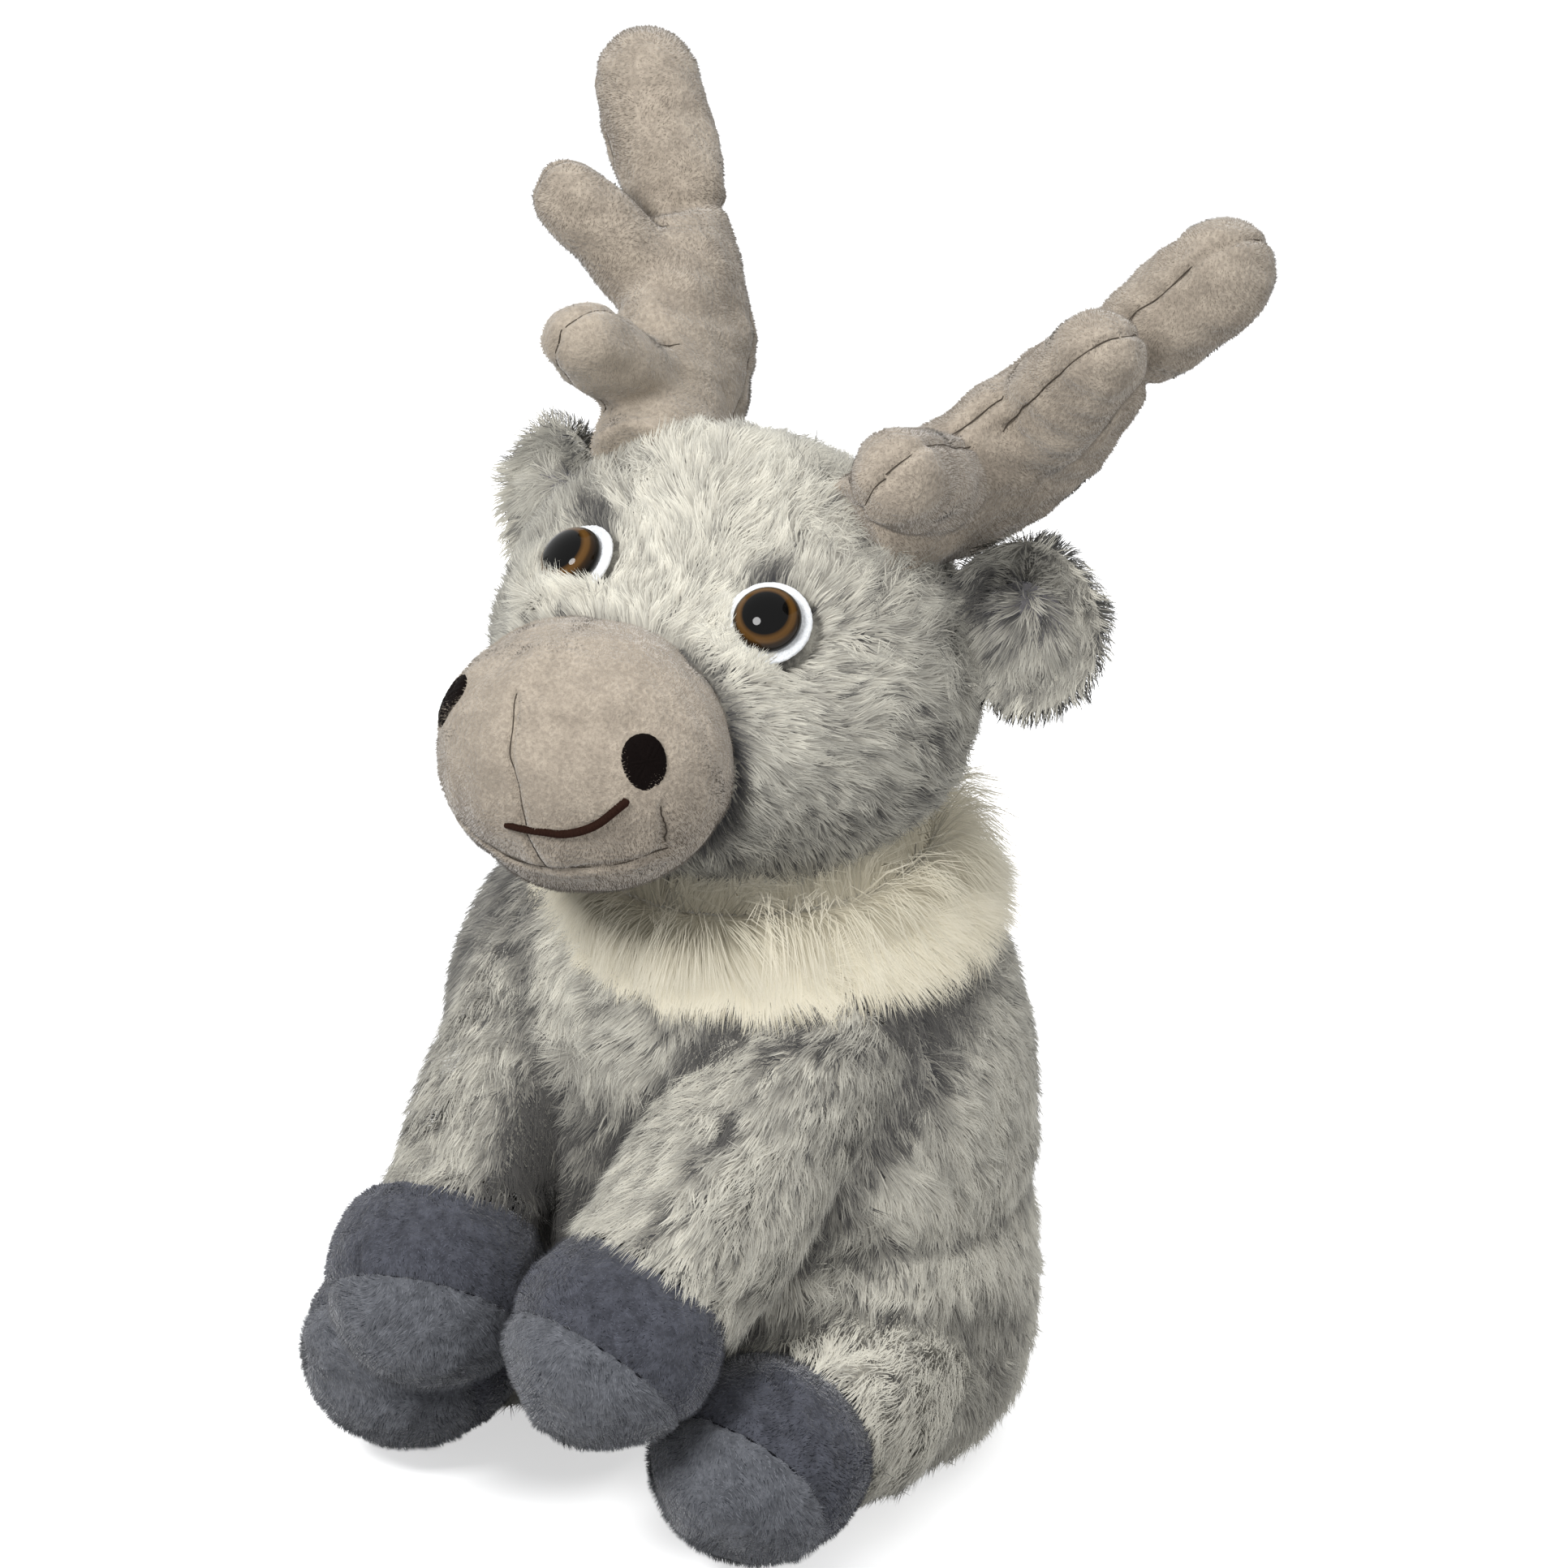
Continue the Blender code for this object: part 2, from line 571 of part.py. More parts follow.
def make_muzzle(axis):
    """Muzzle cloth, open at its back, with the embroidery on its front."""
    skin = add("muzzle_skin", muzzle_solid(0), (NAP, 0.9), axis)
    radius = MUZZLE_HEIGHT / 2 * MUZZLE_OPENING_SHARE
    back = MUZZLE_CENTRE + Vector((0, MUZZLE_DEPTH / 2, 0))
    opening = [(radius, -CUT_OVERRUN), (radius, CUT_OVERRUN)]
    cut(skin, add("cutter_muzzle_inside", muzzle_solid(-SKIN), None, axis),
        add("cutter_muzzle_back", turned_solid(opening, back, Vector((0, 1, 0))), None, axis))
    add("muzzle_stuffing", muzzle_solid(-SKIN - GAP, MUZZLE_SIDES // 2), (FIBRE, 1.0), axis)
    front = add("cutter_muzzle_front", muzzle_solid(GAP), None, axis)
    raised = add("cutter_muzzle_raised", muzzle_solid(GAP + NOSTRIL_STITCH), None, axis)
    tree = BVHTree.FromBMesh(muzzle_solid(0))
    for side, label in ((1, "left"), (-1, "right")):
        place, outward = probe(tree, side * NOSTRIL_SPACING / 2, MUZZLE_CENTRE.z + NOSTRIL_LIFT)
        across = outward.cross(Vector((0, 0, 1))).normalized()
        up = across.cross(outward)
        across, up = across * NOSTRIL_WIDTH / 2, up * NOSTRIL_HEIGHT / 2
        depth = outward * CUT_OVERRUN / 2
        ends = [ellipse(place - depth, across, up, BUTTON_SIDES),
                ellipse(place + depth, across, up, BUTTON_SIDES)]
        patch = add(f"nostril_{label}", solid(ends), (colour(28, 18, 14), 0.8), axis)
        combine(patch, raised, "INTERSECT")
        cut(patch, front)
    make_mouth(axis, tree, front)


def make_mouth(axis, tree, front):
    """One line of satin stitch that follows the front of the muzzle."""
    rings = []
    points = []
    for index in range(STITCH_STEPS + 1):
        share = 2 * index / STITCH_STEPS - 1
        level = MUZZLE_CENTRE.z - MOUTH_DROP + MOUTH_RISE * share * share
        points.append(probe(tree, MOUTH_ASIDE + share * MOUTH_WIDTH / 2, level))
    for index, (place, outward) in enumerate(points):
        ahead = points[min(index + 1, STITCH_STEPS)][0] - points[max(index - 1, 0)][0]
        up = outward.cross(ahead).normalized()
        half = MOUTH_THREAD / 2 * (1 if 0 < index < STITCH_STEPS else TAPER_SHARE)
        rings.append(ellipse(place + outward * (GAP + half), outward * half, up * half, STITCH_SIDES))
    stitch = add("mouth_stitch", solid(rings), (colour(72, 42, 30), 0.8), axis)
    cut(stitch, front)


def ear_place(point, side):
    """A point of the ear on its own side: the left ear is sewn on a little higher."""
    return mirrored(point, side) + Vector((0, 0, side * EAR_OFFSET))


def make_ear(side, axis, cutters):
    label = "left" if side > 0 else "right"
    centre, facing = ear_place(EAR_CENTRE, side), mirrored(EAR_FACING, side).normalized()
    across = facing.cross(Vector((0, 0, 1))).normalized()
    up = across.cross(facing)
    rings = []
    for radius, height in EAR_PROFILE_SHARES:
        place = centre + facing * EAR_THICKNESS * height
        half_width, half_height = across * EAR_WIDTH / 2 * radius, up * EAR_HEIGHT / 2 * radius
        rings.append(ellipse(place, half_width, half_height, BUTTON_SIDES))
    back = centre - facing * EAR_THICKNESS / 2
    dish_level = EAR_THICKNESS * EAR_PROFILE_SHARES[-1][1]
    cup = solid(rings, back, centre + facing * dish_level * TAPER_SHARE)
    cut(add(f"ear_{label}", cup, (FUR, 0.95), axis), *cutters)
    width, height = EAR_WIDTH / 2 * LINING_SHARE, EAR_HEIGHT / 2 * LINING_SHARE
    low = centre + facing * (dish_level + GAP)
    ends = [ellipse(low, across * width, up * height, BUTTON_SIDES),
            ellipse(low + facing * LINING_THICKNESS, across * width, up * height, BUTTON_SIDES)]
    add(f"ear_lining_{label}", solid(ends), (colour(92, 90, 92), 0.95), axis)


def antler_shapes(side, grow):
    """Closed shapes of one antler: the beam with its top tine, then the side tines."""
    base, palm, crease, top, middle, lower = [
        mirrored(point, side) for point in (ANTLER_BASE, ANTLER_PALM, ANTLER_CREASE, ANTLER_TOP,
                                            ANTLER_MIDDLE, ANTLER_LOWER)]
    flat = (crease - base).cross(lower - base).normalized()
    lower, top = (ANTLER_LOWER_LEFT, ANTLER_TOP_LEFT) if side > 0 else (lower, top)
    sunk = base - (palm - base).normalized() * (ANTLER_SUNK - min(grow, 0))
    thick = ANTLER_THICKNESS / 2
    end = (top - crease).normalized() * (TOP_TINE_WIDTH / 2 + grow)
    stations = [
        (sunk, ANTLER_ROOT_WIDTH / 2, thick), (base, ANTLER_ROOT_WIDTH / 2, thick),
        (palm, ANTLER_PALM_WIDTH / 2, thick),
        (palm.lerp(crease, PALM_TO_CREASE_SHARE), (ANTLER_PALM_WIDTH + CREASE_WIDTH) / 4, thick),
        (crease, CREASE_WIDTH / 2, CREASE_WIDTH / 2),
        (crease.lerp(top, CREASE_TO_TOP_SHARE), TOP_TINE_WIDTH / 2, TOP_TINE_WIDTH / 2),
        (top, TOP_TINE_WIDTH / 2, TOP_TINE_WIDTH / 2)]
    beam = [station_ring(stations, index, flat, grow) for index in range(len(stations))]
    for along, size in TOP_DOME_SHARES:
        around = [top + (point - top) * size + end * along for point in beam[len(stations) - 1]]
        beam.append(around)
    shapes = [solid(beam, sunk, top + end)]
    for root, tip, width in ((palm.lerp(crease, MIDDLE_ROOT_SHARE), middle, MIDDLE_TINE_WIDTH),
                             (base.lerp(palm, LOWER_ROOT_SHARE), lower, LOWER_TINE_WIDTH)):
        shapes.append(tine(root, tip, width / 2 + grow))
    return shapes


def station_ring(stations, index, flat, grow):
    """Ring across the run of the stations, wide in the antler's own plane."""
    before, after = stations[max(index - 1, 0)][0], stations[min(index + 1, len(stations) - 1)][0]
    run = (after - before).normalized()
    wide = flat.cross(run).normalized()
    thin = run.cross(wide)
    centre, half_wide, half_thick = stations[index]
    return ellipse(centre, wide * (half_wide + grow), thin * (half_thick + grow), ANTLER_SIDES)


def tine(root, tip, radius):
    """Round finger, a little thicker at its root."""
    run = (tip - root).normalized()
    across = run.orthogonal().normalized()
    up = run.cross(across)
    rings = []
    for along, past, size in TINE_SHARES:
        place = root.lerp(tip, along) + run * radius * past
        rings.append(ellipse(place, across * radius * size, up * radius * size, ANTLER_SIDES))
    return solid(rings, root, tip + run * radius)


def make_antler(side, axis, cutters):
    label = "left" if side > 0 else "right"
    skin, *tines = [add(f"cutter_antler_{label}_{index}", bm, None, axis)
                    for index, bm in enumerate(antler_shapes(side, 0))]
    skin.name = f"antler_{label}"
    skin.hide_render = False
    skin.display_type = "TEXTURED"
    skin.data.materials.append(material(skin.name, NAP, 0.9))
    for piece in tines:
        combine(skin, piece, "UNION")
    cut(skin, *[add(f"cutter_antler_inside_{label}_{index}", bm, None, axis)
                for index, bm in enumerate(antler_shapes(side, -SKIN))], *cutters)
    shapes = antler_shapes(side, -SKIN - GAP)
    core = add(f"antler_stuffing_{label}", shapes[0], (FIBRE, 1.0), axis)
    for index, bm in enumerate(shapes[1:]):
        combine(core, add(f"cutter_antler_core_{label}_{index}", bm, None, axis), "UNION")
    cut(core, *cutters)


def make_tail(axis, cutters):
    length = (TAIL_TIP - TAIL_ROOT).length
    rings = limb_rings(TAIL_ROOT, TAIL_TIP, 0, length, TAIL_PROFILE_SHARES, TAIL_WIDTH, TAIL_THICKNESS, 0)
    cut(add("tail", solid(rings, TAIL_ROOT, TAIL_TIP), (FUR, 0.95), axis), *cutters)


def main():
    neck_place = Vector((0, 0, NECK_PIVOT_HEIGHT))
    neck_axis = empty("axis_head_turn", neck_place)
    nod_axis = empty("axis_head_nod", neck_place, neck_axis)
    make_torso()
    add("neck_stuffing", neck_ball(0), (FIBRE, 1.0), neck_axis)
    make_head(nod_axis)
    make_muzzle(nod_axis)
    lift, sway, spread = Vector((-1, 0, 0)), Vector((0, 1, 0)), Vector((0, 0, 1))
    for side, label in ((1, "left"), (-1, "right")):
        place = Vector((side * ARM_SHOULDER.x, ARM_PIVOT_Y, ARM_SHOULDER.z + ARM_PIVOT_LIFT))
        cutters = swept(f"arm_{label}", lambda: body_solid(GAP), place, lift, steps(0, ARM_SWEEP))
        make_limb("arm", side, empty(f"axis_arm_{label}", place), mirrored(ARM_SHOULDER, side),
                  mirrored(ARM_TIP, side), ARM_WIDTH, ARM_PROFILE_SHARES, cutters)
        place = Vector((side * LEG_PIVOT_X, LEG_PIVOT_Y, LEG_HIP.z))
        cutters = swept(f"leg_{label}", lambda: body_solid(GAP), place, spread, steps(0, side * LEG_SWEEP))
        make_limb("leg", side, empty(f"axis_leg_{label}", place), mirrored(LEG_HIP, side),
                  mirrored(LEG_TIP, side), LEG_WIDTH, LEG_PROFILE_SHARES, cutters)
        place = ear_place(EAR_PIVOT, side)
        cutters = swept(f"ear_{label}", lambda: head_solid(GAP), place, sway, steps(-EAR_SWEEP, EAR_SWEEP))
        make_ear(side, empty(f"axis_ear_{label}", place, nod_axis), cutters)
        place = mirrored(ANTLER_BASE, side)
        cutters = swept(f"antler_{label}", lambda: head_solid(GAP), place, sway,
                        steps(-ANTLER_SWEEP, ANTLER_SWEEP))
        make_antler(side, empty(f"axis_antler_{label}", place, nod_axis), cutters)
    cutters = swept("tail", lambda: body_solid(GAP), TAIL_PIVOT, lift, steps(-TAIL_SWEEP, TAIL_SWEEP))
    make_tail(empty("axis_tail", TAIL_PIVOT), cutters)


main()
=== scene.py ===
import json
import math

import bmesh
import bpy
import numpy as np
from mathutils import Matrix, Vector, bvhtree, kdtree

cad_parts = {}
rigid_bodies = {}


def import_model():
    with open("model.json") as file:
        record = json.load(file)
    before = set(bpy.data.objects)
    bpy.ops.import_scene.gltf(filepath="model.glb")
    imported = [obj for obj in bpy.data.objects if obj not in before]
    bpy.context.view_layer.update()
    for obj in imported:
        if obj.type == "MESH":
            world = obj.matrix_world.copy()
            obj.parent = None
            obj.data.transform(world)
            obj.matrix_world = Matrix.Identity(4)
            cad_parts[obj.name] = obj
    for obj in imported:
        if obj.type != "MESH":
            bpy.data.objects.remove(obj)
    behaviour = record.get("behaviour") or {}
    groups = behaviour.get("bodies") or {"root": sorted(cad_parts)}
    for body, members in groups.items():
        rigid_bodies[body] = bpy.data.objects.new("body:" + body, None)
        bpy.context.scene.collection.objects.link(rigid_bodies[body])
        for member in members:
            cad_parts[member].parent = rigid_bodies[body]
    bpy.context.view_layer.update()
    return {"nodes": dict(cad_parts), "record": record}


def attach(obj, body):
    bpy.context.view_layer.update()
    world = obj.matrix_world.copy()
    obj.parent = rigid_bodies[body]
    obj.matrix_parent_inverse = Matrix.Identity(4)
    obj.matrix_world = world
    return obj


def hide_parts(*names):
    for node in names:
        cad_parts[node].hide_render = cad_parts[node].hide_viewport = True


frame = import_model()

bl_info = {
    "name": "Seated plush deer",
    "version": (1, 0, 0),
    "blender": (4, 5, 0),
    "location": "View3D > Sidebar > Plush Deer",
    "description": "Builds the visible pile, nap, seams, eyes and stage of a seated plush deer",
    "category": "Object",
}

SIDES = (("left", 1), ("right", -1))
DOWN = np.array((0.0, 0.0, -1.0))
FLOOR_CLEAR = 0.0004
CREASE_DEPTH = 0.0030
HIDE_WEAVE = 120.0
STRAND_LEANS = (5, 82)

# Forms of the solids that carry the pile, in metres and in shares of the sizes here
BODY_WIDTH, BODY_DEPTH, BODY_HEIGHT = 0.146, 0.126, 0.148
BODY_PROFILE = (
    (0.00, 0.78, 0.28), (0.04, 0.88, 0.52), (0.10, 0.94, 0.74), (0.19, 0.98, 0.91),
    (0.33, 1.00, 1.00), (0.53, 1.00, 1.00), (0.71, 0.970, 0.970), (0.82, 0.90, 0.90),
    (0.90, 0.80, 0.80), (0.95, 0.68, 0.68), (0.975, 0.53, 0.53), (0.985, 0.30, 0.30))
HEAD_WIDTH, HEAD_LEVEL, HEAD_BACK, HEAD_DEPTH = 0.122, 0.1925, 0.053, 0.111
HEAD_CROWN, HEAD_JOWL = 0.057, 0.045
HEAD_PROFILE = (
    (0.003, 0.09, 0.11, 0.10), (0.03, 0.27, 0.32, 0.30), (0.10, 0.53, 0.57, 0.50),
    (0.22, 0.80, 0.83, 0.76), (0.36, 0.96, 0.97, 0.93), (0.46, 1.00, 0.99, 0.99),
    (0.57, 0.98, 0.86, 1.00), (0.68, 0.90, 0.67, 0.96), (0.78, 0.78, 0.53, 0.86),
    (0.88, 0.66, 0.45, 0.72), (0.97, 0.46, 0.32, 0.48))
MUZZLE_SIZE = np.array((0.070, 0.062, 0.061))
MUZZLE_CENTRE = np.array((0.0, -0.061, 0.1955))
MUZZLE_BLUNT = 2.15
MUZZLE_SEAMS = (
    ((-0.0049, 0.2184), (-0.0020, 0.2137), (-0.0006, 0.2073), (0.0018, 0.2004), (0.0044, 0.1912)),
    ((0.0045, 0.1882), (0.0058, 0.1832), (0.0070, 0.1785)),
    ((-0.0275, 0.1870), (-0.0220, 0.1830), (-0.0150, 0.1805), (-0.0077, 0.1793), (-0.0018, 0.1777),
     (0.0070, 0.1785), (0.0136, 0.1800), (0.0221, 0.1815), (0.0268, 0.1827), (0.0308, 0.1843)),
    ((0.0316, 0.1970), (0.0319, 0.1920), (0.0312, 0.1865)),
    ((-0.0316, 0.1970), (-0.0319, 0.1920), (-0.0312, 0.1865)))
SMILE = ((-0.0011, 0.1902), (0.0048, 0.1905), (0.0102, 0.1911), (0.0139, 0.1913), (0.0186, 0.1929),
         (0.0218, 0.1950), (0.0240, 0.1974), (0.0266, 0.2004))
EYE_COVER = {"left": np.array((-0.62, -0.45, -0.70)), "right": np.array((-0.12, -0.35, -0.95))}
EAR_SIZE = (0.041, 0.045, 0.011)
EAR_CENTRE = np.array((0.0655, 0.022, 0.2095))
EAR_OFFSET = 0.004
EAR_FACING = np.array((0.30, -0.93, 0.20))
ANTLER_POINTS = {
    "base": (0.034, 0.017, 0.2345), "palm": (0.046, 0.044, 0.2435), "crease": (0.062, 0.066, 0.2645),
    "top": (0.0835, 0.0815, 0.2885), "middle": (0.0745, 0.0380, 0.2780), "lower": (0.0425, -0.0020, 0.2655)}
ANTLER_LOWER_LEFT = (0.0530, -0.0120, 0.2615)
ANTLER_TOP_LEFT = (0.0805, 0.0793, 0.2851)
ARM = {"root": (0.043, -0.014, 0.125), "tip": (0.0210, -0.1060, 0.0450), "width": 0.048,
       "profile": ((0.00, 0.80), (0.22, 0.94), (0.50, 1.00), (0.78, 0.99), (1.00, 0.92))}
LEG = {"root": (0.044, -0.004, 0.033), "tip": (0.0520, -0.0890, 0.0245), "width": 0.058,
       "profile": ((0.00, 0.85), (0.30, 0.98), (0.60, 1.00), (0.82, 0.92), (1.00, 0.79))}
HOOF_WIDTH, HOOF_HEIGHT, HOOF_LENGTH = 0.051, 0.047, 0.042
HOOF_PROFILE = (
    (0.00, 0.84), (0.18, 0.97), (0.38, 1.00), (0.58, 0.93), (0.76, 0.76), (0.90, 0.50), (0.975, 0.25),
    (0.995, 0.10))
HOOF_SEAM_SHARE = 0.56
TAIL_ROOT, TAIL_TIP = np.array((0.0, 0.055, 0.040)), np.array((0.0, 0.092, 0.060))
RUFF_LEVELS = (0.1330, 0.1510)
RUFF_SLOPE = np.array((0.819, 0.574, 0.0))
SEAM_VIEW = np.array((0.511, -0.730, 0.454))


# Forms

def unit(vectors):
    """The vectors at length one."""
    vectors = np.asarray(vectors, float)
    return vectors / np.maximum(np.linalg.norm(vectors, axis=-1, keepdims=True), 1e-12)


def spline(rows, count):
    """Rows resampled on a smooth curve through all of them."""
    rows = np.asarray(rows, float)
    place = np.linspace(0, len(rows) - 1, count)
    start = np.minimum(place.astype(int), len(rows) - 2)
    t = (place - start)[:, None]
    padded = np.vstack([2 * rows[0] - rows[1], rows, 2 * rows[-1] - rows[-2]])
    a, b, c, d = (padded[start + step] for step in range(4))
    return 0.5 * (2 * b + (c - a) * t + (2 * a - 5 * b + 4 * c - d) * t ** 2
                  + (3 * b - a - 3 * c + d) * t ** 3)


def ripple(points, scale, seed, count=10):
    """Smooth seeded noise of about -1 to 1 at the points, its waves about a scale long."""
    rng = np.random.default_rng(seed)
    waves = unit(rng.normal(size=(count, 3))) * rng.uniform(0.6, 1.5, (count, 1)) * 2 * math.pi / scale
    phases = rng.uniform(0, 2 * math.pi, count)
    return np.sin(points @ waves.T + phases).sum(1) / math.sqrt(count / 2) / 1.6


def ripples(points, scale, seed):
    """Three noises as one vector at each point."""
    return np.stack([ripple(points, scale, seed + step) for step in range(3)], 1)


def ovals(centres, across, up, sides):
    """Rings round centres, from half axis vectors for each."""
    angles = np.linspace(0, 2 * math.pi, sides, endpoint=False)
    return (centres[:, None] + across[:, None] * np.cos(angles)[None, :, None]
            + up[:, None] * np.sin(angles)[None, :, None])


def torso_rings(rows, sides):
    table = spline(BODY_PROFILE, rows)
    angles = np.linspace(0, 2 * math.pi, sides, endpoint=False)
    share = np.where(np.sin(angles)[None] > 0, table[:, 1:2], table[:, 2:3])
    return np.stack([
        BODY_WIDTH / 2 * table[:, 1:2] * np.cos(angles)[None],
        BODY_DEPTH / 2 * share * np.sin(angles)[None],
        np.repeat(BODY_HEIGHT * table[:, 0:1], sides, 1)], 2)


def head_rings(rows, sides):
    table = spline(HEAD_PROFILE, rows)
    angles = np.linspace(0, 2 * math.pi, sides, endpoint=False)
    rise = np.where(np.sin(angles)[None] > 0, HEAD_CROWN * table[:, 2:3], HEAD_JOWL * table[:, 3:4])
    return np.stack([
        HEAD_WIDTH / 2 * table[:, 1:2] * np.cos(angles)[None],
        np.repeat(HEAD_BACK - HEAD_DEPTH * table[:, 0:1], sides, 1),
        HEAD_LEVEL + rise * np.sin(angles)[None]], 2)


def muzzle_rings(rows, sides):
    turn = np.linspace(0.06, math.pi - 0.06, rows)
    along = -np.cos(turn)
    size = (1 - np.abs(along) ** MUZZLE_BLUNT) ** (1 / MUZZLE_BLUNT)
    centres = MUZZLE_CENTRE + np.outer(-along * MUZZLE_SIZE[1] / 2, (0, 1, 0))
    return ovals(centres, np.outer(size * MUZZLE_SIZE[0] / 2, (1, 0, 0)),
                 np.outer(size * MUZZLE_SIZE[2] / 2, (0, 0, 1)), sides)


def muzzle_front(x, z):
    """The front of the muzzle at x and z."""
    size = np.hypot(x / (MUZZLE_SIZE[0] / 2), (z - MUZZLE_CENTRE[2]) / (MUZZLE_SIZE[2] / 2))
    along = (1 - np.minimum(size, 0.999) ** MUZZLE_BLUNT) ** (1 / MUZZLE_BLUNT)
    return np.stack([x, MUZZLE_CENTRE[1] - MUZZLE_SIZE[1] / 2 * along, z], -1)


def sided(point, side):
    return np.array(point, float) * (side, 1, 1)


def limb_frame(limb, side):
    """Root, direction, sideways axis, upward axis and whole length of a limb."""
    root, tip = sided(limb["root"], side), sided(limb["tip"], side)
    along = unit(tip - root)
    across = unit(np.cross(along, (0, 0, 1)))
    return root, along, across, np.cross(across, along), float(np.linalg.norm(tip - root))


def limb_rings(limb, side, rows, sides):
    root, along, across, up, length = limb_frame(limb, side)
    table = spline(limb["profile"], rows)
    centres = root + np.outer(table[:, 0] * (length - HOOF_LENGTH), along)
    half = table[:, 1:2] * limb["width"] / 2
    return ovals(centres, half * across, half * up, sides)


def tube_rings(points, wide, thick, flat, rows, sides):
    """Tube through the points, closing in a round end past the last of them. wide lies
    in the plane whose normal is flat."""
    table = spline(np.column_stack([points, wide, thick]), rows)
    centres, run = table[:, :3], unit(np.gradient(table[:, :3], axis=0))
    across = unit(np.cross(flat, run))
    other = np.cross(run, across)
    rings = ovals(centres, across * table[:, 3:4], other * table[:, 4:5], sides)
    domes = []
    for angle in np.radians((22, 44, 62, 77, 87)):
        shift = run[-1] * table[-1, 3] * math.sin(angle)
        domes.append(centres[-1] + shift + (rings[-1] - centres[-1]) * math.cos(angle))
    return np.concatenate([rings, np.array(domes)])


def antler_tubes(side, sides=24):
    """Beam with its palm and top tine, then the two side tines."""
    base, palm, crease, top, middle, lower = (
        sided(ANTLER_POINTS[name], side) for name in ("base", "palm", "crease", "top", "middle", "lower"))
    flat = unit(np.cross(crease - base, lower - base))
    lower, top = (np.array(ANTLER_LOWER_LEFT), np.array(ANTLER_TOP_LEFT)) if side > 0 else (lower, top)
    sunk = base - unit(palm - base) * 0.012
    beam = np.array([sunk, base, palm, palm + (crease - palm) * 0.55, crease,
                     crease + (top - crease) * 0.35, top])
    wide = np.array((0.0170, 0.0170, 0.0220 + 0.0026 * (side > 0), 0.0178, 0.0110, 0.01275, 0.01275))
    thick = np.array((0.0135, 0.0135, 0.0135, 0.0135, 0.0110, 0.01275, 0.01275))
    tubes = [tube_rings(beam, wide, thick, flat, 60, sides)]
    full = 1.22 if side > 0 else 1.0
    for root, tip in ((palm + (crease - palm) * (0.3 if side < 0 else 0.0), middle),
                      (base + (palm - base) * 0.45, lower)):
        points = np.array([root, root + (tip - root) * 0.55, tip])
        radii = np.array((0.0111, 0.0100 * full, 0.00925 * full))
        tubes.append(tube_rings(points, radii, radii, flat, 24, sides))
    return tubes


# Meshes

def lofted(rings, closed=(True, True)):
    """Vertices and faces of rings joined to each other, with a pole at each closed end."""
    rows, sides = rings.shape[:2]
    vertices = rings.reshape(-1, 3)
    low = np.arange((rows - 1) * sides)
    after = low - low % sides + (low + 1) % sides
    faces = [tuple(face) for face in np.stack([low, after, after + sides, low + sides], 1).tolist()]
    for end, first in ((closed[0], 0), (closed[1], (rows - 1) * sides)):
        if not end:
            continue
        pole = len(vertices)
        vertices = np.vstack([vertices, vertices[first:first + sides].mean(0)])
        for index in range(sides):
            pair = (first + index, first + (index + 1) % sides)
            faces.append((pole, *(pair[::-1] if first == 0 else pair)))
    return vertices, faces


def mesh_object(name, vertices, faces, smooth=True):
    """Object from vertices and faces, with its normals turned outwards."""
    mesh = bpy.data.meshes.new(name)
    mesh.from_pydata(np.asarray(vertices).tolist(), [], faces)
    bm = bmesh.new()
    bm.from_mesh(mesh)
    bmesh.ops.recalc_face_normals(bm, faces=bm.faces)
    bm.to_mesh(mesh)
    bm.free()
    if smooth:
        mesh.shade_smooth()
    made = bpy.data.objects.new(name, mesh)
    bpy.context.scene.collection.objects.link(made)
    return made


def coordinates(obj):
    found = np.empty(len(obj.data.vertices) * 3, np.float32)
    obj.data.vertices.foreach_get("co", found)
    return found.reshape(-1, 3).astype(float)


def normals_of(obj):
    found = np.empty(len(obj.data.vertices) * 3, np.float32)
    obj.data.vertex_normals.foreach_get("vector", found)
    return found.reshape(-1, 3).astype(float)


def reshape(obj, points):
    """Moves the vertices of a mesh of the scene's own, keeping it off the floor."""
    points = np.array(points)
    points[:, 2] = np.maximum(points[:, 2], FLOOR_CLEAR)
    obj.data.vertices.foreach_set("co", points.astype(np.float32).ravel())
    obj.data.update()


def swell(obj, amount):
    """Moves each vertex out by an amount along its normal."""
    reshape(obj, coordinates(obj) + normals_of(obj) * np.reshape(amount, (-1, 1)))


def apply_modifier(obj, kind, **values):
    step = obj.modifiers.new(kind.lower(), kind)
    for key, value in values.items():
        setattr(step, key, value)
    graph = bpy.context.evaluated_depsgraph_get()
    mesh = bpy.data.meshes.new_from_object(obj.evaluated_get(graph), depsgraph=graph)
    obj.modifiers.clear()
    old, obj.data = obj.data, mesh
    bpy.data.meshes.remove(old)
    mesh.name = obj.name
    mesh.shade_smooth()
    return obj


def merged(name, parts):
    """One object from several sets of vertices and faces."""
    vertices, faces, start = [], [], 0
    for points, polygons in parts:
        vertices.append(points)
        faces += [tuple(index + start for index in polygon) for polygon in polygons]
        start += len(points)
    return mesh_object(name, np.vstack(vertices), faces)


def remeshed(obj, voxel, rounds):
    """The outside of closed shapes that run into each other, as one even and rounded mesh."""
    apply_modifier(obj, "REMESH", mode="VOXEL", voxel_size=voxel, adaptivity=0.0)
    return apply_modifier(obj, "SMOOTH", factor=0.5, iterations=rounds)


def line_distance(points, line):
    """Distance of each point from a line through several points."""
    line = np.asarray(line, float)
    nearest = np.full(len(points), np.inf)
    for start, end in zip(line, line[1:]):
        run = end - start
        share = np.clip(((points - start) @ run) / max(run @ run, 1e-12), 0, 1)
        nearest = np.minimum(nearest, np.linalg.norm(points - start - share[:, None] * run, axis=1))
    return nearest


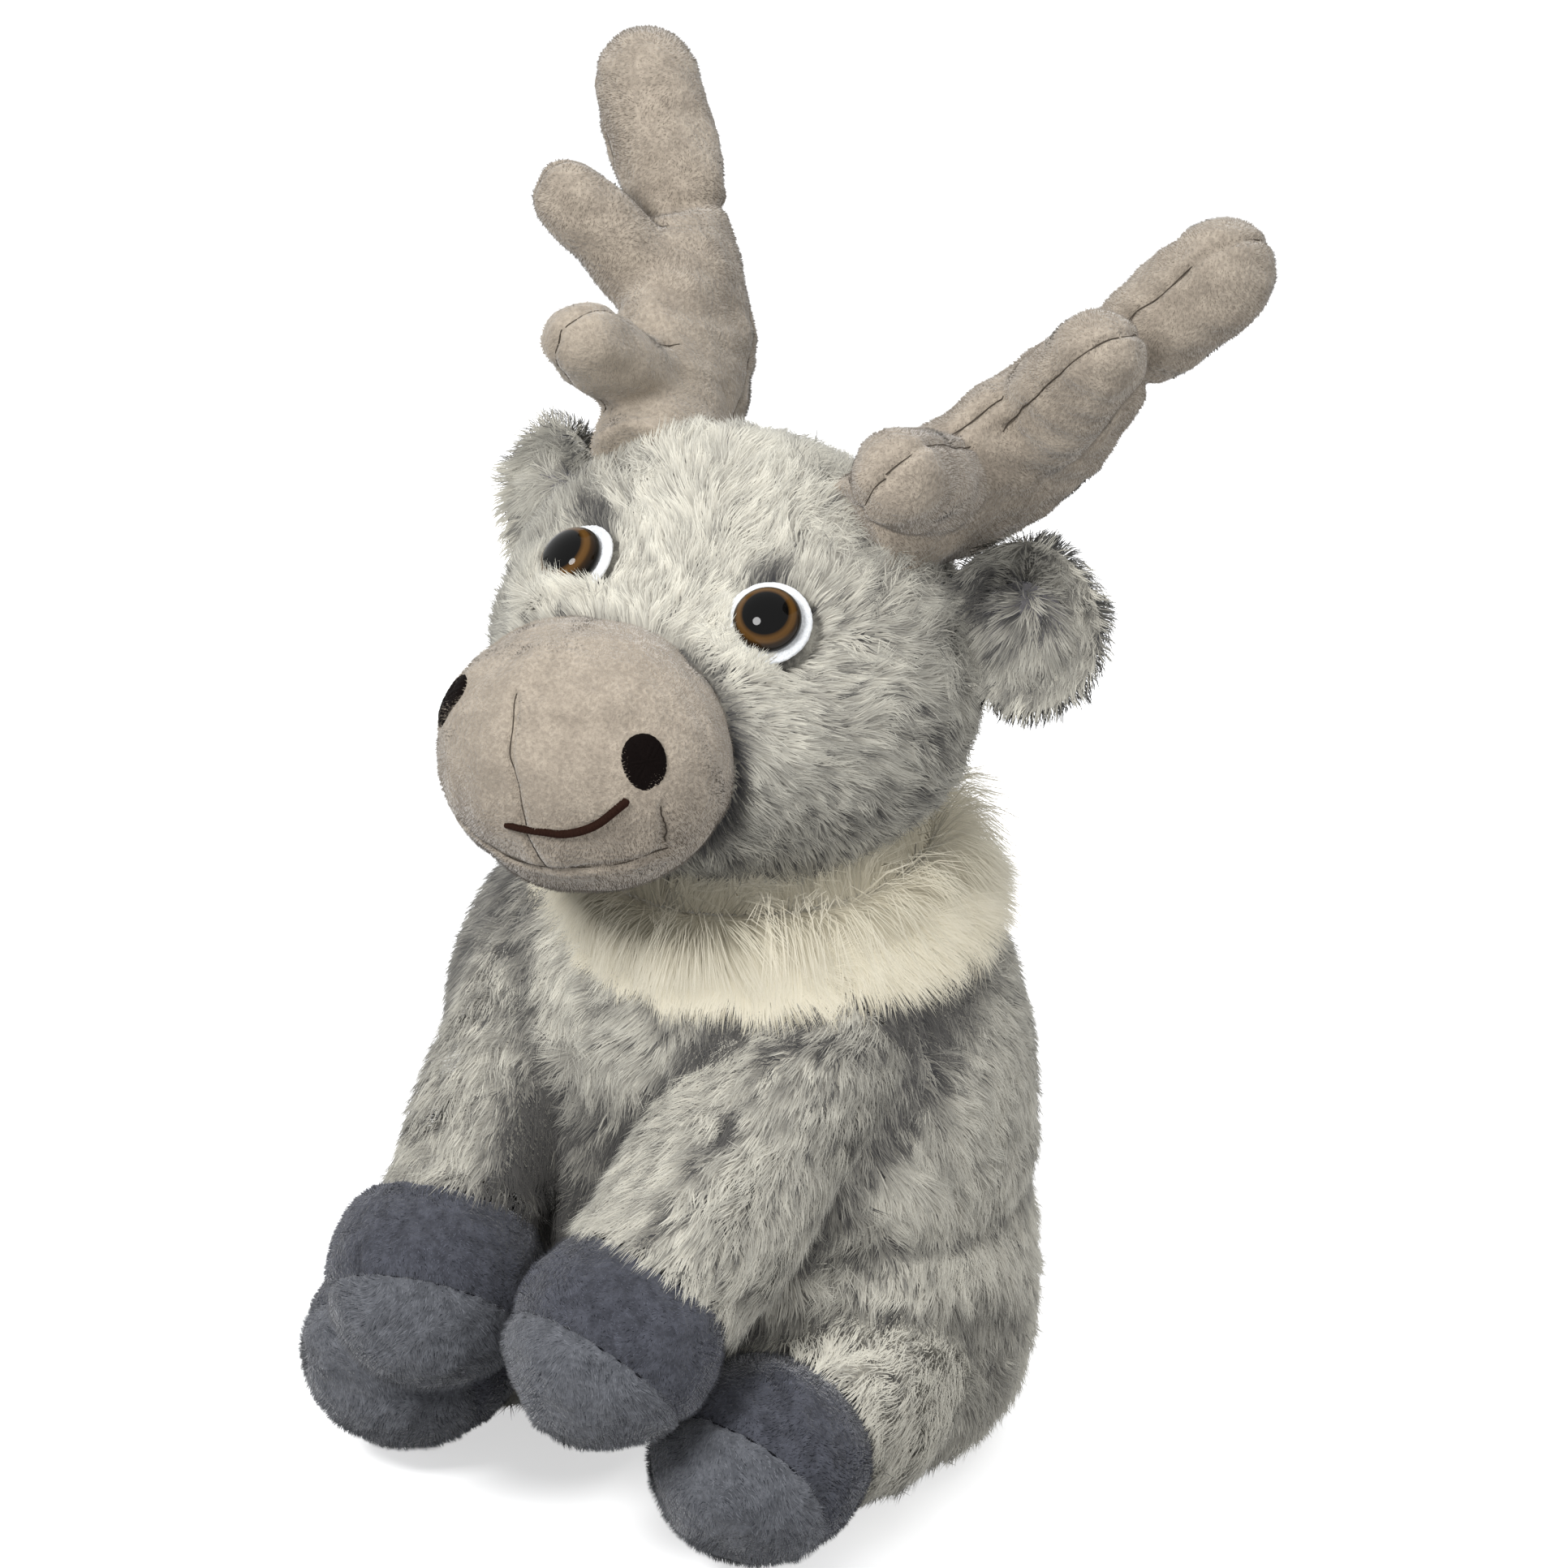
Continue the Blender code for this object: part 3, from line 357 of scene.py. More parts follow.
def furrow(distance, width):
    """Profile of a sewn furrow, 1 along its line and 0 away from it."""
    return np.exp(-(distance / width) ** 2)


# Pile and nap

MAP_NAME = "OFBake"
STRANDS_A_PIECE = 19500
SOFT_SHARE = 0.82


def surface_places(obj, density, seed):
    """Seeded places spread over a mesh, with their normals."""
    mesh = obj.data
    mesh.calc_loop_triangles()
    corners = np.empty(len(mesh.loop_triangles) * 3, np.int32)
    mesh.loop_triangles.foreach_get("vertices", corners)
    corners = corners.reshape(-1, 3)
    points, normals = coordinates(obj), normals_of(obj)
    a, b, c = points[corners].transpose(1, 0, 2)
    area = np.cumsum(np.linalg.norm(np.cross(b - a, c - a), axis=1) / 2)
    rng = np.random.default_rng(seed)
    count = int(area[-1] * density)
    draw = (np.arange(count) + rng.uniform(size=count)) / count * area[-1]
    pick = np.minimum(np.searchsorted(area, draw), len(area) - 1)
    u, v = rng.uniform(size=(2, count, 1))
    over = (u + v) > 1
    u, v = np.where(over, 1 - u, u), np.where(over, 1 - v, v)
    weights = np.concatenate([1 - u - v, u, v], 1)[:, :, None]
    return (points[corners[pick]] * weights).sum(1), unit((normals[corners[pick]] * weights).sum(1))


def along_surface(directions, normals):
    """The directions laid into the surface."""
    return unit(directions - normals * (directions * normals).sum(1, keepdims=True))


def strand_curves(roots, normals, flow, length, lay):
    """Middle and tip of strands that bend over from the normal towards the flow."""
    low, high = (lay * 0.55)[:, None], (lay * 1.2)[:, None]
    half = length[:, None] / 2
    middle = roots + (normals * np.cos(low) + flow * np.sin(low)) * half
    return middle, middle + (normals * np.cos(high) + flow * np.sin(high)) * half


def gathered(roots, middles, tips, spacing, pull, seed):
    """Middles and tips drawn together into locks about a spacing apart."""
    rng = np.random.default_rng(seed)
    leaders = []
    taken = set()
    cells = np.floor((roots - roots.min(0)) / spacing + rng.uniform(size=3)).astype(int)
    for index in rng.permutation(len(roots)).tolist():
        cell = tuple(cells[index])
        if cell not in taken:
            taken.add(cell)
            leaders.append(index)
    tree = kdtree.KDTree(len(leaders))
    for place, index in enumerate(leaders):
        tree.insert(Vector(roots[index]), place)
    tree.balance()
    jitter = rng.normal(0, spacing * 0.12, roots.shape)
    near = np.array([tree.find(Vector(point))[1] for point in roots + jitter])
    leader = np.array(leaders)[near]
    share = np.clip(pull * rng.uniform(0.5, 1.2, (len(roots), 1)), 0, 1)
    middle_shift = middles[leader] - middles
    tip_shift = tips[leader] - tips
    return middles + middle_shift * share * 0.45, tips + tip_shift * share, leader


def strand_mesh(name, roots, middles, tips, normals, width, tone, material, bent=True):
    """Closed three-sided strands, bent at the middle or straight. Their map runs from dark
    to pale and from root to tip."""
    count = len(roots)
    across = unit(np.cross(tips - roots, normals))
    half = width[:, None] / 2
    rings = ((roots - normals * 0.0004, 1.0), (middles, 0.85)) if bent else ((roots - normals * 0.0002, 1.0),)
    corners = []
    for place, size in rings:
        corners += [place + across * half * size, place - across * half * size,
                    place + normals * half * size * 0.8]
    corners = np.stack(corners + [tips], 1)
    corners[:, :, 2] = np.maximum(corners[:, :, 2], FLOOR_CLEAR)
    last = 3 * len(rings) - 3
    face = [0, 1, 4, 3, 1, 2, 5, 4, 2, 0, 3, 5] if bent else []
    starts = [0, 4, 8] if bent else []
    for ring in ((last, last + 1), (last + 1, last + 2), (last + 2, last)):
        starts.append(len(face))
        face += [*ring, last + 3]
    starts.append(len(face))
    face += [2, 1, 0]
    size = corners.shape[1]
    loops = (np.array(face)[None] + size * np.arange(count)[:, None]).ravel()
    mesh = bpy.data.meshes.new(name)
    mesh.vertices.add(count * size)
    mesh.vertices.foreach_set("co", corners.astype(np.float32).ravel())
    mesh.loops.add(len(loops))
    mesh.loops.foreach_set("vertex_index", loops.astype(np.int32))
    mesh.polygons.add(count * len(starts))
    firsts = np.array(starts)[None] + len(face) * np.arange(count)[:, None]
    mesh.polygons.foreach_set("loop_start", firsts.ravel().astype(np.int32))
    layer = mesh.uv_layers.new(name=MAP_NAME)
    rise = np.array((0.02, 0.02, 0.02, 0.5, 0.5, 0.5, 0.98) if bent else (0.02, 0.02, 0.02, 0.98))
    aside = np.array((-0.01, 0.01, 0.0, -0.01, 0.01, 0.0, 0.0))[:size]
    spread = np.stack([np.clip(tone, 0.02, 0.98)[:, None] + aside, np.tile(rise, (count, 1))], 2)
    layer.uv.foreach_set("vector", spread.reshape(-1, 2)[loops].astype(np.float32).ravel())
    mesh.update(calc_edges=True)
    mesh.shade_smooth()
    own = np.empty(count * size * 3, np.float32)
    mesh.vertices.foreach_get("normal", own)
    soft = unit(own.reshape(count, size, 3) * (1 - SOFT_SHARE) + normals[:, None] * SOFT_SHARE)
    mesh.normals_split_custom_set_from_vertices(soft.reshape(-1, 3))
    mesh.materials.append(material)
    made = bpy.data.objects.new(name, mesh)
    bpy.context.scene.collection.objects.link(made)
    return made


def grow(name, body, hide, flow, tone, material, seed, density, length, width, lay=63,
         spacing=0.0030, pull=0.28, keep=None, clear=None, order=2, bent=True, speckle=(0.10, 0.14),
         facing=None):
    """Pile over a hide, in pieces small enough to export. flow, tone, length and keep are
    functions of the places and normals there, as lay may be, and clear of roots, middles and
    tips. speckle is how much the tone changes from strand to strand and from lock to lock,
    and facing gives the normals that the pile is shaded by."""
    roots, normals = surface_places(hide, density, seed)
    if keep is not None:
        chosen = keep(roots, normals)
        roots, normals = roots[chosen], normals[chosen]
    rng = np.random.default_rng(seed + 1)
    count = len(roots)
    direction = along_surface(flow(roots, normals) + 0.45 * ripples(roots, 0.016, seed)
                              + 0.30 * ripples(roots, 0.0065, seed + 5)
                              + rng.normal(0, 0.20, (count, 3)), normals)
    lengths = length(roots, normals) * np.clip(rng.normal(1, 0.11, count), 0.6, 1.22)
    leaning = lay(roots, normals) if callable(lay) else lay
    leaning = leaning + 7 * ripple(roots, 0.009, seed + 9) + rng.normal(0, 8, count)
    angles = np.radians(np.clip(leaning, *STRAND_LEANS))
    middles, tips = strand_curves(roots, normals, direction, lengths, angles)
    middles, tips, leader = gathered(roots, middles, tips, spacing, pull, seed + 2)
    tones = tone(roots, normals) + speckle[0] * rng.normal(size=count)
    tones = np.clip(tones + speckle[1] * rng.normal(size=count)[leader], 0, 1)
    widths = width * rng.uniform(0.7, 1.3, count)
    normals = normals if facing is None else facing(roots, normals)
    if clear is not None:
        kept = clear(roots, middles, tips)
        roots, normals, middles, tips, tones, widths = (
            values[kept] for values in (roots, normals, middles, tips, tones, widths))
        count = len(roots)
    ranking = np.argsort(roots[:, order], kind="stable")
    pieces = math.ceil(count / (STRANDS_A_PIECE if bent else STRANDS_A_PIECE * 5 // 2))
    made = []
    for index, chunk in enumerate(np.array_split(ranking, pieces), 1):
        label = name if pieces == 1 else f"{name}_{index}"
        obj = strand_mesh(label, roots[chunk], middles[chunk], tips[chunk], normals[chunk], widths[chunk],
                          tones[chunk], material, bent)
        obj.visible_shadow = False
        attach(obj, body)
        made.append(obj)
    return made


# Materials

def node_group(name, inputs, outputs):
    """Shader node group with its sockets; returns the group and its two end nodes."""
    group = bpy.data.node_groups.new(name, "ShaderNodeTree")
    for label, kind, value in inputs:
        socket = group.interface.new_socket(name=label, in_out="INPUT", socket_type=kind)
        socket.default_value = value
    for label, kind in outputs:
        group.interface.new_socket(name=label, in_out="OUTPUT", socket_type=kind)
    return group, group.nodes.new("NodeGroupInput"), group.nodes.new("NodeGroupOutput")


def mixed(tree, factor, first, second, blend="MIX"):
    """Mix of two colours; each argument is a socket or a value. Returns the colour socket."""
    node = tree.nodes.new("ShaderNodeMix")
    node.data_type, node.blend_type = "RGBA", blend
    for socket, value in zip((node.inputs[0], node.inputs[6], node.inputs[7]), (factor, first, second)):
        if isinstance(value, bpy.types.NodeSocket):
            tree.links.new(value, socket)
        else:
            socket.default_value = value
    return node.outputs[2]


def ranged(tree, value, low, high, to_low=0.0, to_high=1.0):
    node = tree.nodes.new("ShaderNodeMapRange")
    node.interpolation_type = "SMOOTHSTEP"
    tree.links.new(value, node.inputs["Value"])
    for key, number in (("From Min", low), ("From Max", high), ("To Min", to_low), ("To Max", to_high)):
        if isinstance(number, bpy.types.NodeSocket):
            tree.links.new(number, node.inputs[key])
        else:
            node.inputs[key].default_value = number
    return node.outputs["Result"]


def noise(tree, vector, scale, detail=3.0, roughness=0.55):
    node = tree.nodes.new("ShaderNodeTexNoise")
    tree.links.new(vector, node.inputs["Vector"])
    if isinstance(scale, bpy.types.NodeSocket):
        tree.links.new(scale, node.inputs["Scale"])
    else:
        node.inputs["Scale"].default_value = scale
    node.inputs["Detail"].default_value = detail
    node.inputs["Roughness"].default_value = roughness
    return node.outputs["Fac"]


def pile_group():
    """Colour of a strand from its tone and how far along it a place is."""
    if "Pile Colour" in bpy.data.node_groups:
        return bpy.data.node_groups["Pile Colour"]
    grey = (0.2, 0.2, 0.2, 1)
    group, start, end = node_group(
        "Pile Colour",
        [(label, "NodeSocketColor", grey)
         for label in ("Dark Root", "Pale Root", "Dark Shaft", "Pale Shaft", "Dark Tip", "Pale Tip")]
        + [("Tone", "NodeSocketFloat", 0.5), ("Along", "NodeSocketFloat", 0.5)],
        [("Color", "NodeSocketColor")])
    given = start.outputs
    shaft = mixed(group, given["Tone"], given["Dark Shaft"], given["Pale Shaft"])
    tip = mixed(group, given["Tone"], given["Dark Tip"], given["Pale Tip"])
    root = mixed(group, given["Tone"], given["Dark Root"], given["Pale Root"])
    low = mixed(group, ranged(group, given["Along"], 0.05, 0.45), root, shaft)
    group.links.new(mixed(group, ranged(group, given["Along"], 0.4, 0.95), low, tip), end.inputs["Color"])
    return group


def velour_group():
    """Brushed nap: soft patches where it leans another way, and the grain of its fibres."""
    if "Brushed Velour" in bpy.data.node_groups:
        return bpy.data.node_groups["Brushed Velour"]
    group, start, end = node_group(
        "Brushed Velour",
        [("Pale", "NodeSocketColor", (0.5, 0.45, 0.4, 1)), ("Dark", "NodeSocketColor", (0.3, 0.27, 0.24, 1)),
         ("Patch Scale", "NodeSocketFloat", 60.0), ("Grain Scale", "NodeSocketFloat", 900.0),
         ("Grain Depth", "NodeSocketFloat", 0.35)],
        [("Color", "NodeSocketColor"), ("Height", "NodeSocketFloat")])
    given = start.outputs
    place = group.nodes.new("ShaderNodeTexCoord").outputs["Object"]
    patch = noise(group, place, given["Patch Scale"], 4.0, 0.6)
    grain = noise(group, place, given["Grain Scale"], 2.0, 0.6)
    broad = mixed(group, ranged(group, patch, 0.32, 0.66), given["Dark"], given["Pale"])
    fine = ranged(group, grain, 0.3, 0.7, 0.55, 1.35)
    scaled = group.nodes.new("ShaderNodeVectorMath")
    scaled.operation = "SCALE"
    group.links.new(broad, scaled.inputs[0])
    group.links.new(fine, scaled.inputs["Scale"])
    group.links.new(mixed(group, given["Grain Depth"], broad, scaled.outputs["Vector"]), end.inputs["Color"])
    group.links.new(grain, end.inputs["Height"])
    return group


def plain_material(name, roughness, sheen=0.0, coat=0.0, specular=0.5):
    """Material with its shader, its constants set on the shader's own sockets."""
    made = bpy.data.materials.new(name)
    made.use_nodes = True
    shader = made.node_tree.nodes["Principled BSDF"]
    shader.inputs["Roughness"].default_value = roughness
    shader.inputs["Sheen Weight"].default_value = sheen
    shader.inputs["Sheen Roughness"].default_value = 0.45
    shader.inputs["Coat Weight"].default_value = coat
    shader.inputs["Coat Roughness"].default_value = 0.03
    shader.inputs["Specular IOR Level"].default_value = specular
    return made, made.node_tree, shader


def tinted(colour, factor):
    return tuple(min(channel * factor, 1.0) for channel in colour[:3]) + (1.0,)


def mid_colour(first, second):
    return tuple((a + b) / 2 for a, b in zip(first, second))


def pile_material(name, dark_root, pale_root, dark_shaft, pale_shaft, dark_tip, pale_tip):
    """Pile coloured by its map."""
    if name in bpy.data.materials:
        return bpy.data.materials[name]
    made, tree, shader = plain_material(name, 0.9, sheen=0.12, specular=0.06)
    spread = tree.nodes.new("ShaderNodeUVMap")
    spread.uv_map = MAP_NAME
    split = tree.nodes.new("ShaderNodeSeparateXYZ")
    tree.links.new(spread.outputs["UV"], split.inputs[0])
    group = tree.nodes.new("ShaderNodeGroup")
    group.node_tree = pile_group()
    for label, colour in (("Dark Root", dark_root), ("Pale Root", pale_root), ("Dark Shaft", dark_shaft),
                          ("Pale Shaft", pale_shaft), ("Dark Tip", dark_tip), ("Pale Tip", pale_tip)):
        group.inputs[label].default_value = colour
    tree.links.new(split.outputs["X"], group.inputs["Tone"])
    tree.links.new(split.outputs["Y"], group.inputs["Along"])
    tree.links.new(group.outputs["Color"], shader.inputs["Base Color"])
    return made


def velour_material(name, pale, dark, patch=60.0, grain=900.0, depth=0.35, bump=0.0006, sheen=0.5):
    """Short nap, also used for the cloth under long pile."""
    if name in bpy.data.materials:
        return bpy.data.materials[name]
    made, tree, shader = plain_material(name, 0.9, sheen=sheen, specular=0.15)
    group = tree.nodes.new("ShaderNodeGroup")
    group.node_tree = velour_group()
    for label, value in (("Pale", pale), ("Dark", dark), ("Patch Scale", patch), ("Grain Scale", grain),
                         ("Grain Depth", depth)):
        group.inputs[label].default_value = value
    tree.links.new(group.outputs["Color"], shader.inputs["Base Color"])
    relief = tree.nodes.new("ShaderNodeBump")
    relief.inputs["Strength"].default_value = 1.0
    relief.inputs["Distance"].default_value = bump
    tree.links.new(group.outputs["Height"], relief.inputs["Height"])
    tree.links.new(relief.outputs["Normal"], shader.inputs["Normal"])
    return made


# Where fittings sit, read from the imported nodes

def node_points(node):
    return coordinates(frame["nodes"][node])


def node_seat(node):
    """Centre of a flat node, the direction it faces, and its upward and sideways axes."""
    points = node_points(node)
    centre = (points.min(0) + points.max(0)) / 2 if len(points) < 3 else points.mean(0)
    facing = np.linalg.svd(points - centre, full_matrices=False)[2][2]
    facing = facing if facing[1] < 0 else -facing
    across = unit(np.cross(facing, (0, 0, 1)))
    return centre, facing, np.cross(across, facing), across


def torso_depth(points):
    """How far inside the torso each place is, as a share; 1 on its surface, 0 at its axis."""
    height = np.clip(points[:, 2] / BODY_HEIGHT, 0, 0.985)
    table = spline(BODY_PROFILE, 80)
    back = np.interp(height, table[:, 0], table[:, 1])
    front = np.interp(height, table[:, 0], table[:, 2])
    deep = BODY_DEPTH / 2 * np.where(points[:, 1] > 0, back, front)
    return np.hypot(points[:, 0] / (BODY_WIDTH / 2 * back), points[:, 1] / deep)


def muzzle_depth(points):
    """1 on the surface of the muzzle, less inside it."""
    shifted = np.abs(points - MUZZLE_CENTRE) / (MUZZLE_SIZE / 2)
    return (np.hypot(shifted[:, 0], shifted[:, 2]) ** MUZZLE_BLUNT
            + shifted[:, 1] ** MUZZLE_BLUNT) ** (1 / MUZZLE_BLUNT)


def finish_piece(obj, body, material, nodes=()):
    """Material, body and replaced nodes of one piece."""
    obj.data.materials.clear()
    obj.data.materials.append(material)
    if nodes:
        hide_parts(*nodes)
    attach(obj, body)
    return obj


def grey_pile(colours):
    return pile_material("grey pile", colours.pile_root, tinted(colours.pale_shaft, 0.9),
                         colours.dark_shaft, colours.pale_shaft, colours.dark_tip, colours.pale_tip)


def grey_hide(colours):
    return velour_material("grey hide", tinted(colours.pale_shaft, 0.7),
                           tinted(colours.dark_shaft, 0.8), HIDE_WEAVE)


def deepened(tone):
    """The tone on a scale whose dark end is deeper, so that shadows and flecks have room."""
    return 0.17 + 0.83 * tone


def mottle(points, seed):
    """Change of tone over the pile: soft patches with small dark flecks where it parts."""
    soft = 0.08 * ripple(points, 0.007, seed) + 0.05 * ripple(points, 0.034, seed + 1)
    parting = 1.3 * ripple(points, 0.0036, seed + 2) * (1 + 0.5 * ripple(points, 0.03, seed + 3))
    return soft - 0.60 * np.clip(parting - 0.70, 0, 1)


# Pieces

def build_torso(sizes, colours):
    hide = mesh_object("body_hide", *lofted(torso_rings(64, 96)))
    seated = coordinates(hide)[:, 2] < 0.001
    swell(hide, -sizes.pile_depth + 0.0008 * ripple(coordinates(hide), 0.035, 3))
    points = coordinates(hide)
    creased = furrow(points[:, 2] - crease_level(points), 0.006)
    creased = creased * np.clip(np.abs(points[:, 0]) / 0.02 - 1.5, 0, 1)
    points = points - CREASE_DEPTH * creased[:, None] * unit(points * (1, 1, 0))
    points[seated, 2] = FLOOR_CLEAR
    reshape(hide, points)
    finish_piece(hide, "torso", grey_hide(colours), ["body_skin"])

    def flow(p, n):
        return DOWN + 0.25 * unit(p * (1, 1, 0)) + 0.30 * ripples(p, 0.05, 25)

    def tone(p, n):
        # Paler towards the bottom and mottled, with painted shade where a limb lies on the torso.
        shade = 0.72 + 0.52 * np.clip(1 - p[:, 2] / 0.080, 0, 1) + mottle(p, 21) - 0.65 * limb_contact_shade(p)
        # Painted shadow of the ruff: a darker band just under its lower edge, on the near side.
        near_side = np.clip(0.5 + p[:, 0] / 0.04, 0, 1)
        shade = shade - 0.42 * near_side * furrow(np.maximum(0.128 - p[:, 2], 0), 0.008) * (p[:, 2] < 0.134)
        # Painted shade on the chest between the fore legs.
        between = np.clip(1.3 - np.abs(p[:, 0]) / 0.040, 0, 1) * np.clip((0.124 - p[:, 2]) / 0.03, 0, 1)
        shade = shade - 0.80 * between * (p[:, 1] < -0.02)
        # Painted shade in the crease between the thighs and the waist.
        shade = shade - 0.50 * furrow(p[:, 2] - crease_level(p), 0.0030) * (np.abs(p[:, 0]) > 0.035)
        return deepened(shade)

    grow("body_pile", "torso", hide, flow, tone, grey_pile(colours), 11,
         sizes.pile_density, lambda p, n: sizes.pile_length * np.where(p[:, 2] < 0.008, 0.6, 1.0),
         sizes.strand_width, keep=lambda p, n: (p[:, 2] > 0.0015) & (p[:, 2] < 0.139) & (n[:, 2] > -0.8))


def limb_contact_shade(points):
    """1 on the torso where a limb lies on it, 0 away from there: where the pile gets painted shade."""
    nearest = np.full(len(points), np.inf)
    for limb in (ARM, LEG):
        for _, side in SIDES:
            root, along, _, _, length = limb_frame(limb, side)
            line = np.array([root, root + along * length])
            nearest = np.minimum(nearest, line_distance(points, line) - limb["width"] / 2)
    return furrow(np.maximum(nearest, 0), 0.0035)


def crease_level(points):
    """Height of the crease between the thighs and the waist, lower towards the back."""
    return 0.068 - 0.10 * (points[:, 1] - 0.0)


def ruff_ring(level, grow_by, sides=120):
    table = spline(BODY_PROFILE, 80)
    back = np.interp(min(level / BODY_HEIGHT, 0.985), table[:, 0], table[:, 1])
    angles = np.linspace(0, 2 * math.pi, sides, endpoint=False)
    wide, deep = (max(size / 2 * back, 0.046) + grow_by for size in (BODY_WIDTH, BODY_DEPTH))
    return np.stack([wide * np.cos(angles), deep * np.sin(angles), np.full(sides, level)], 1)


def drawn_in(points):
    """1 on the right shoulder, where the collar lies closer, 0 on the other side."""
    return np.clip(-(points @ RUFF_SLOPE) / 0.048, 0, 1)


def build_ruff(sizes, colours):
    levels = np.linspace(*RUFF_LEVELS, 12)
    outer = [ruff_ring(level, 0.0022 * math.sin(math.pi * (index + 0.5) / 12))
             for index, level in enumerate(levels)]
    inner = [ruff_ring(level, -0.0022) for level in levels[::-1]]
    rings = np.array(outer + inner + outer[:1])
    rings += 0.010 * drawn_in(rings)[..., None] ** 2 * RUFF_SLOPE
    vertices, faces = lofted(rings, closed=(False, False))
    hide = mesh_object("ruff_hide", vertices, faces)
    bm = bmesh.new()
    bm.from_mesh(hide.data)
    bmesh.ops.remove_doubles(bm, verts=bm.verts, dist=1e-6)
    bmesh.ops.recalc_face_normals(bm, faces=bm.faces)
    bm.to_mesh(hide.data)
    bm.free()
    cloth = velour_material("cream hide", tinted(colours.cream_shaft, 0.85),
                            tinted(colours.cream_root, 0.9), HIDE_WEAVE)
    finish_piece(hide, "torso", cloth, ["ruff"])
    cream = pile_material("cream pile", tinted(colours.cream_root, 1.05), tinted(colours.cream_shaft, 0.95),
                          tinted(colours.cream_shaft, 0.90), colours.cream_shaft,
                          tinted(colours.cream_tip, 0.86), tinted(colours.cream_tip, 0.97))

    def inner(p, n):
        """Places on the inside, whose pile closes the gap under the head."""
        return (p * n)[:, :2].sum(1) < 0

    def flow(p, n):
        outward = unit(p * (1, 1, 0))
        hanging = DOWN + 0.30 * outward + 0.30 * ripples(p, 0.02, 31)
        return 2.0 * np.where(inner(p, n)[:, None], (0, 0, 0.9) - 0.55 * outward, hanging)

    def tone(p, n):
        height = (p[:, 2] - RUFF_LEVELS[0]) / (RUFF_LEVELS[1] - RUFF_LEVELS[0])
        # Darker towards the top, painted shade under the head; the inner pile under the head is raised,
        # painted light.
        return 0.78 - 0.14 * height + 0.12 * ripple(p, 0.008, 33) + 0.15 * inner(p, n)

    def length(p, n):
        height = (p[:, 2] - RUFF_LEVELS[0]) / (RUFF_LEVELS[1] - RUFF_LEVELS[0])
        hanging = sizes.ruff_length * (0.52 + 0.62 * height) * (1 + 0.14 * ripple(p, 0.009, 34))
        return np.where(inner(p, n), 0.0135, hanging * (1 - 0.5 * drawn_in(p)))

    grow("ruff_pile", "torso", hide, flow, tone, cream, 41, sizes.pile_density * 1.3, length,
         sizes.strand_width * 0.90, lay=60, spacing=0.0036, pull=0.24, speckle=(0.10, 0.08),
         facing=lambda p, n: np.where(inner(p, n)[:, None], unit(unit(p * (1, 1, 0)) * 0.7 + (0, 0, 0.7)), n),
         keep=lambda p, n: ~inner(p, n) | (p[:, 2] > 0.1405))


def eye_seats():
    """Centre, facing, up and across of each eye's felt."""
    return [node_seat(f"eye_felt_{label}") for label, _ in SIDES]


def eye_reach(points, seat):
    """Distance from an eye's axis, and how far in front of its felt, of each place."""
    centre, facing = seat[:2]
    ahead = (points - centre) @ facing
    return np.linalg.norm(points - centre - ahead[:, None] * facing, axis=1), ahead


def overlap(p, seat):
    """1 on the side of an eye where the pile lies over the felt's edge."""
    cover = EYE_COVER["left" if seat[0][0] > 0 else "right"]
    toward = unit(cover - seat[1] * (cover @ seat[1]))
    return np.clip((unit(p - seat[0]) @ toward) * 2.2 - (0.6 if seat[0][0] > 0 else 0.2), 0, 1)


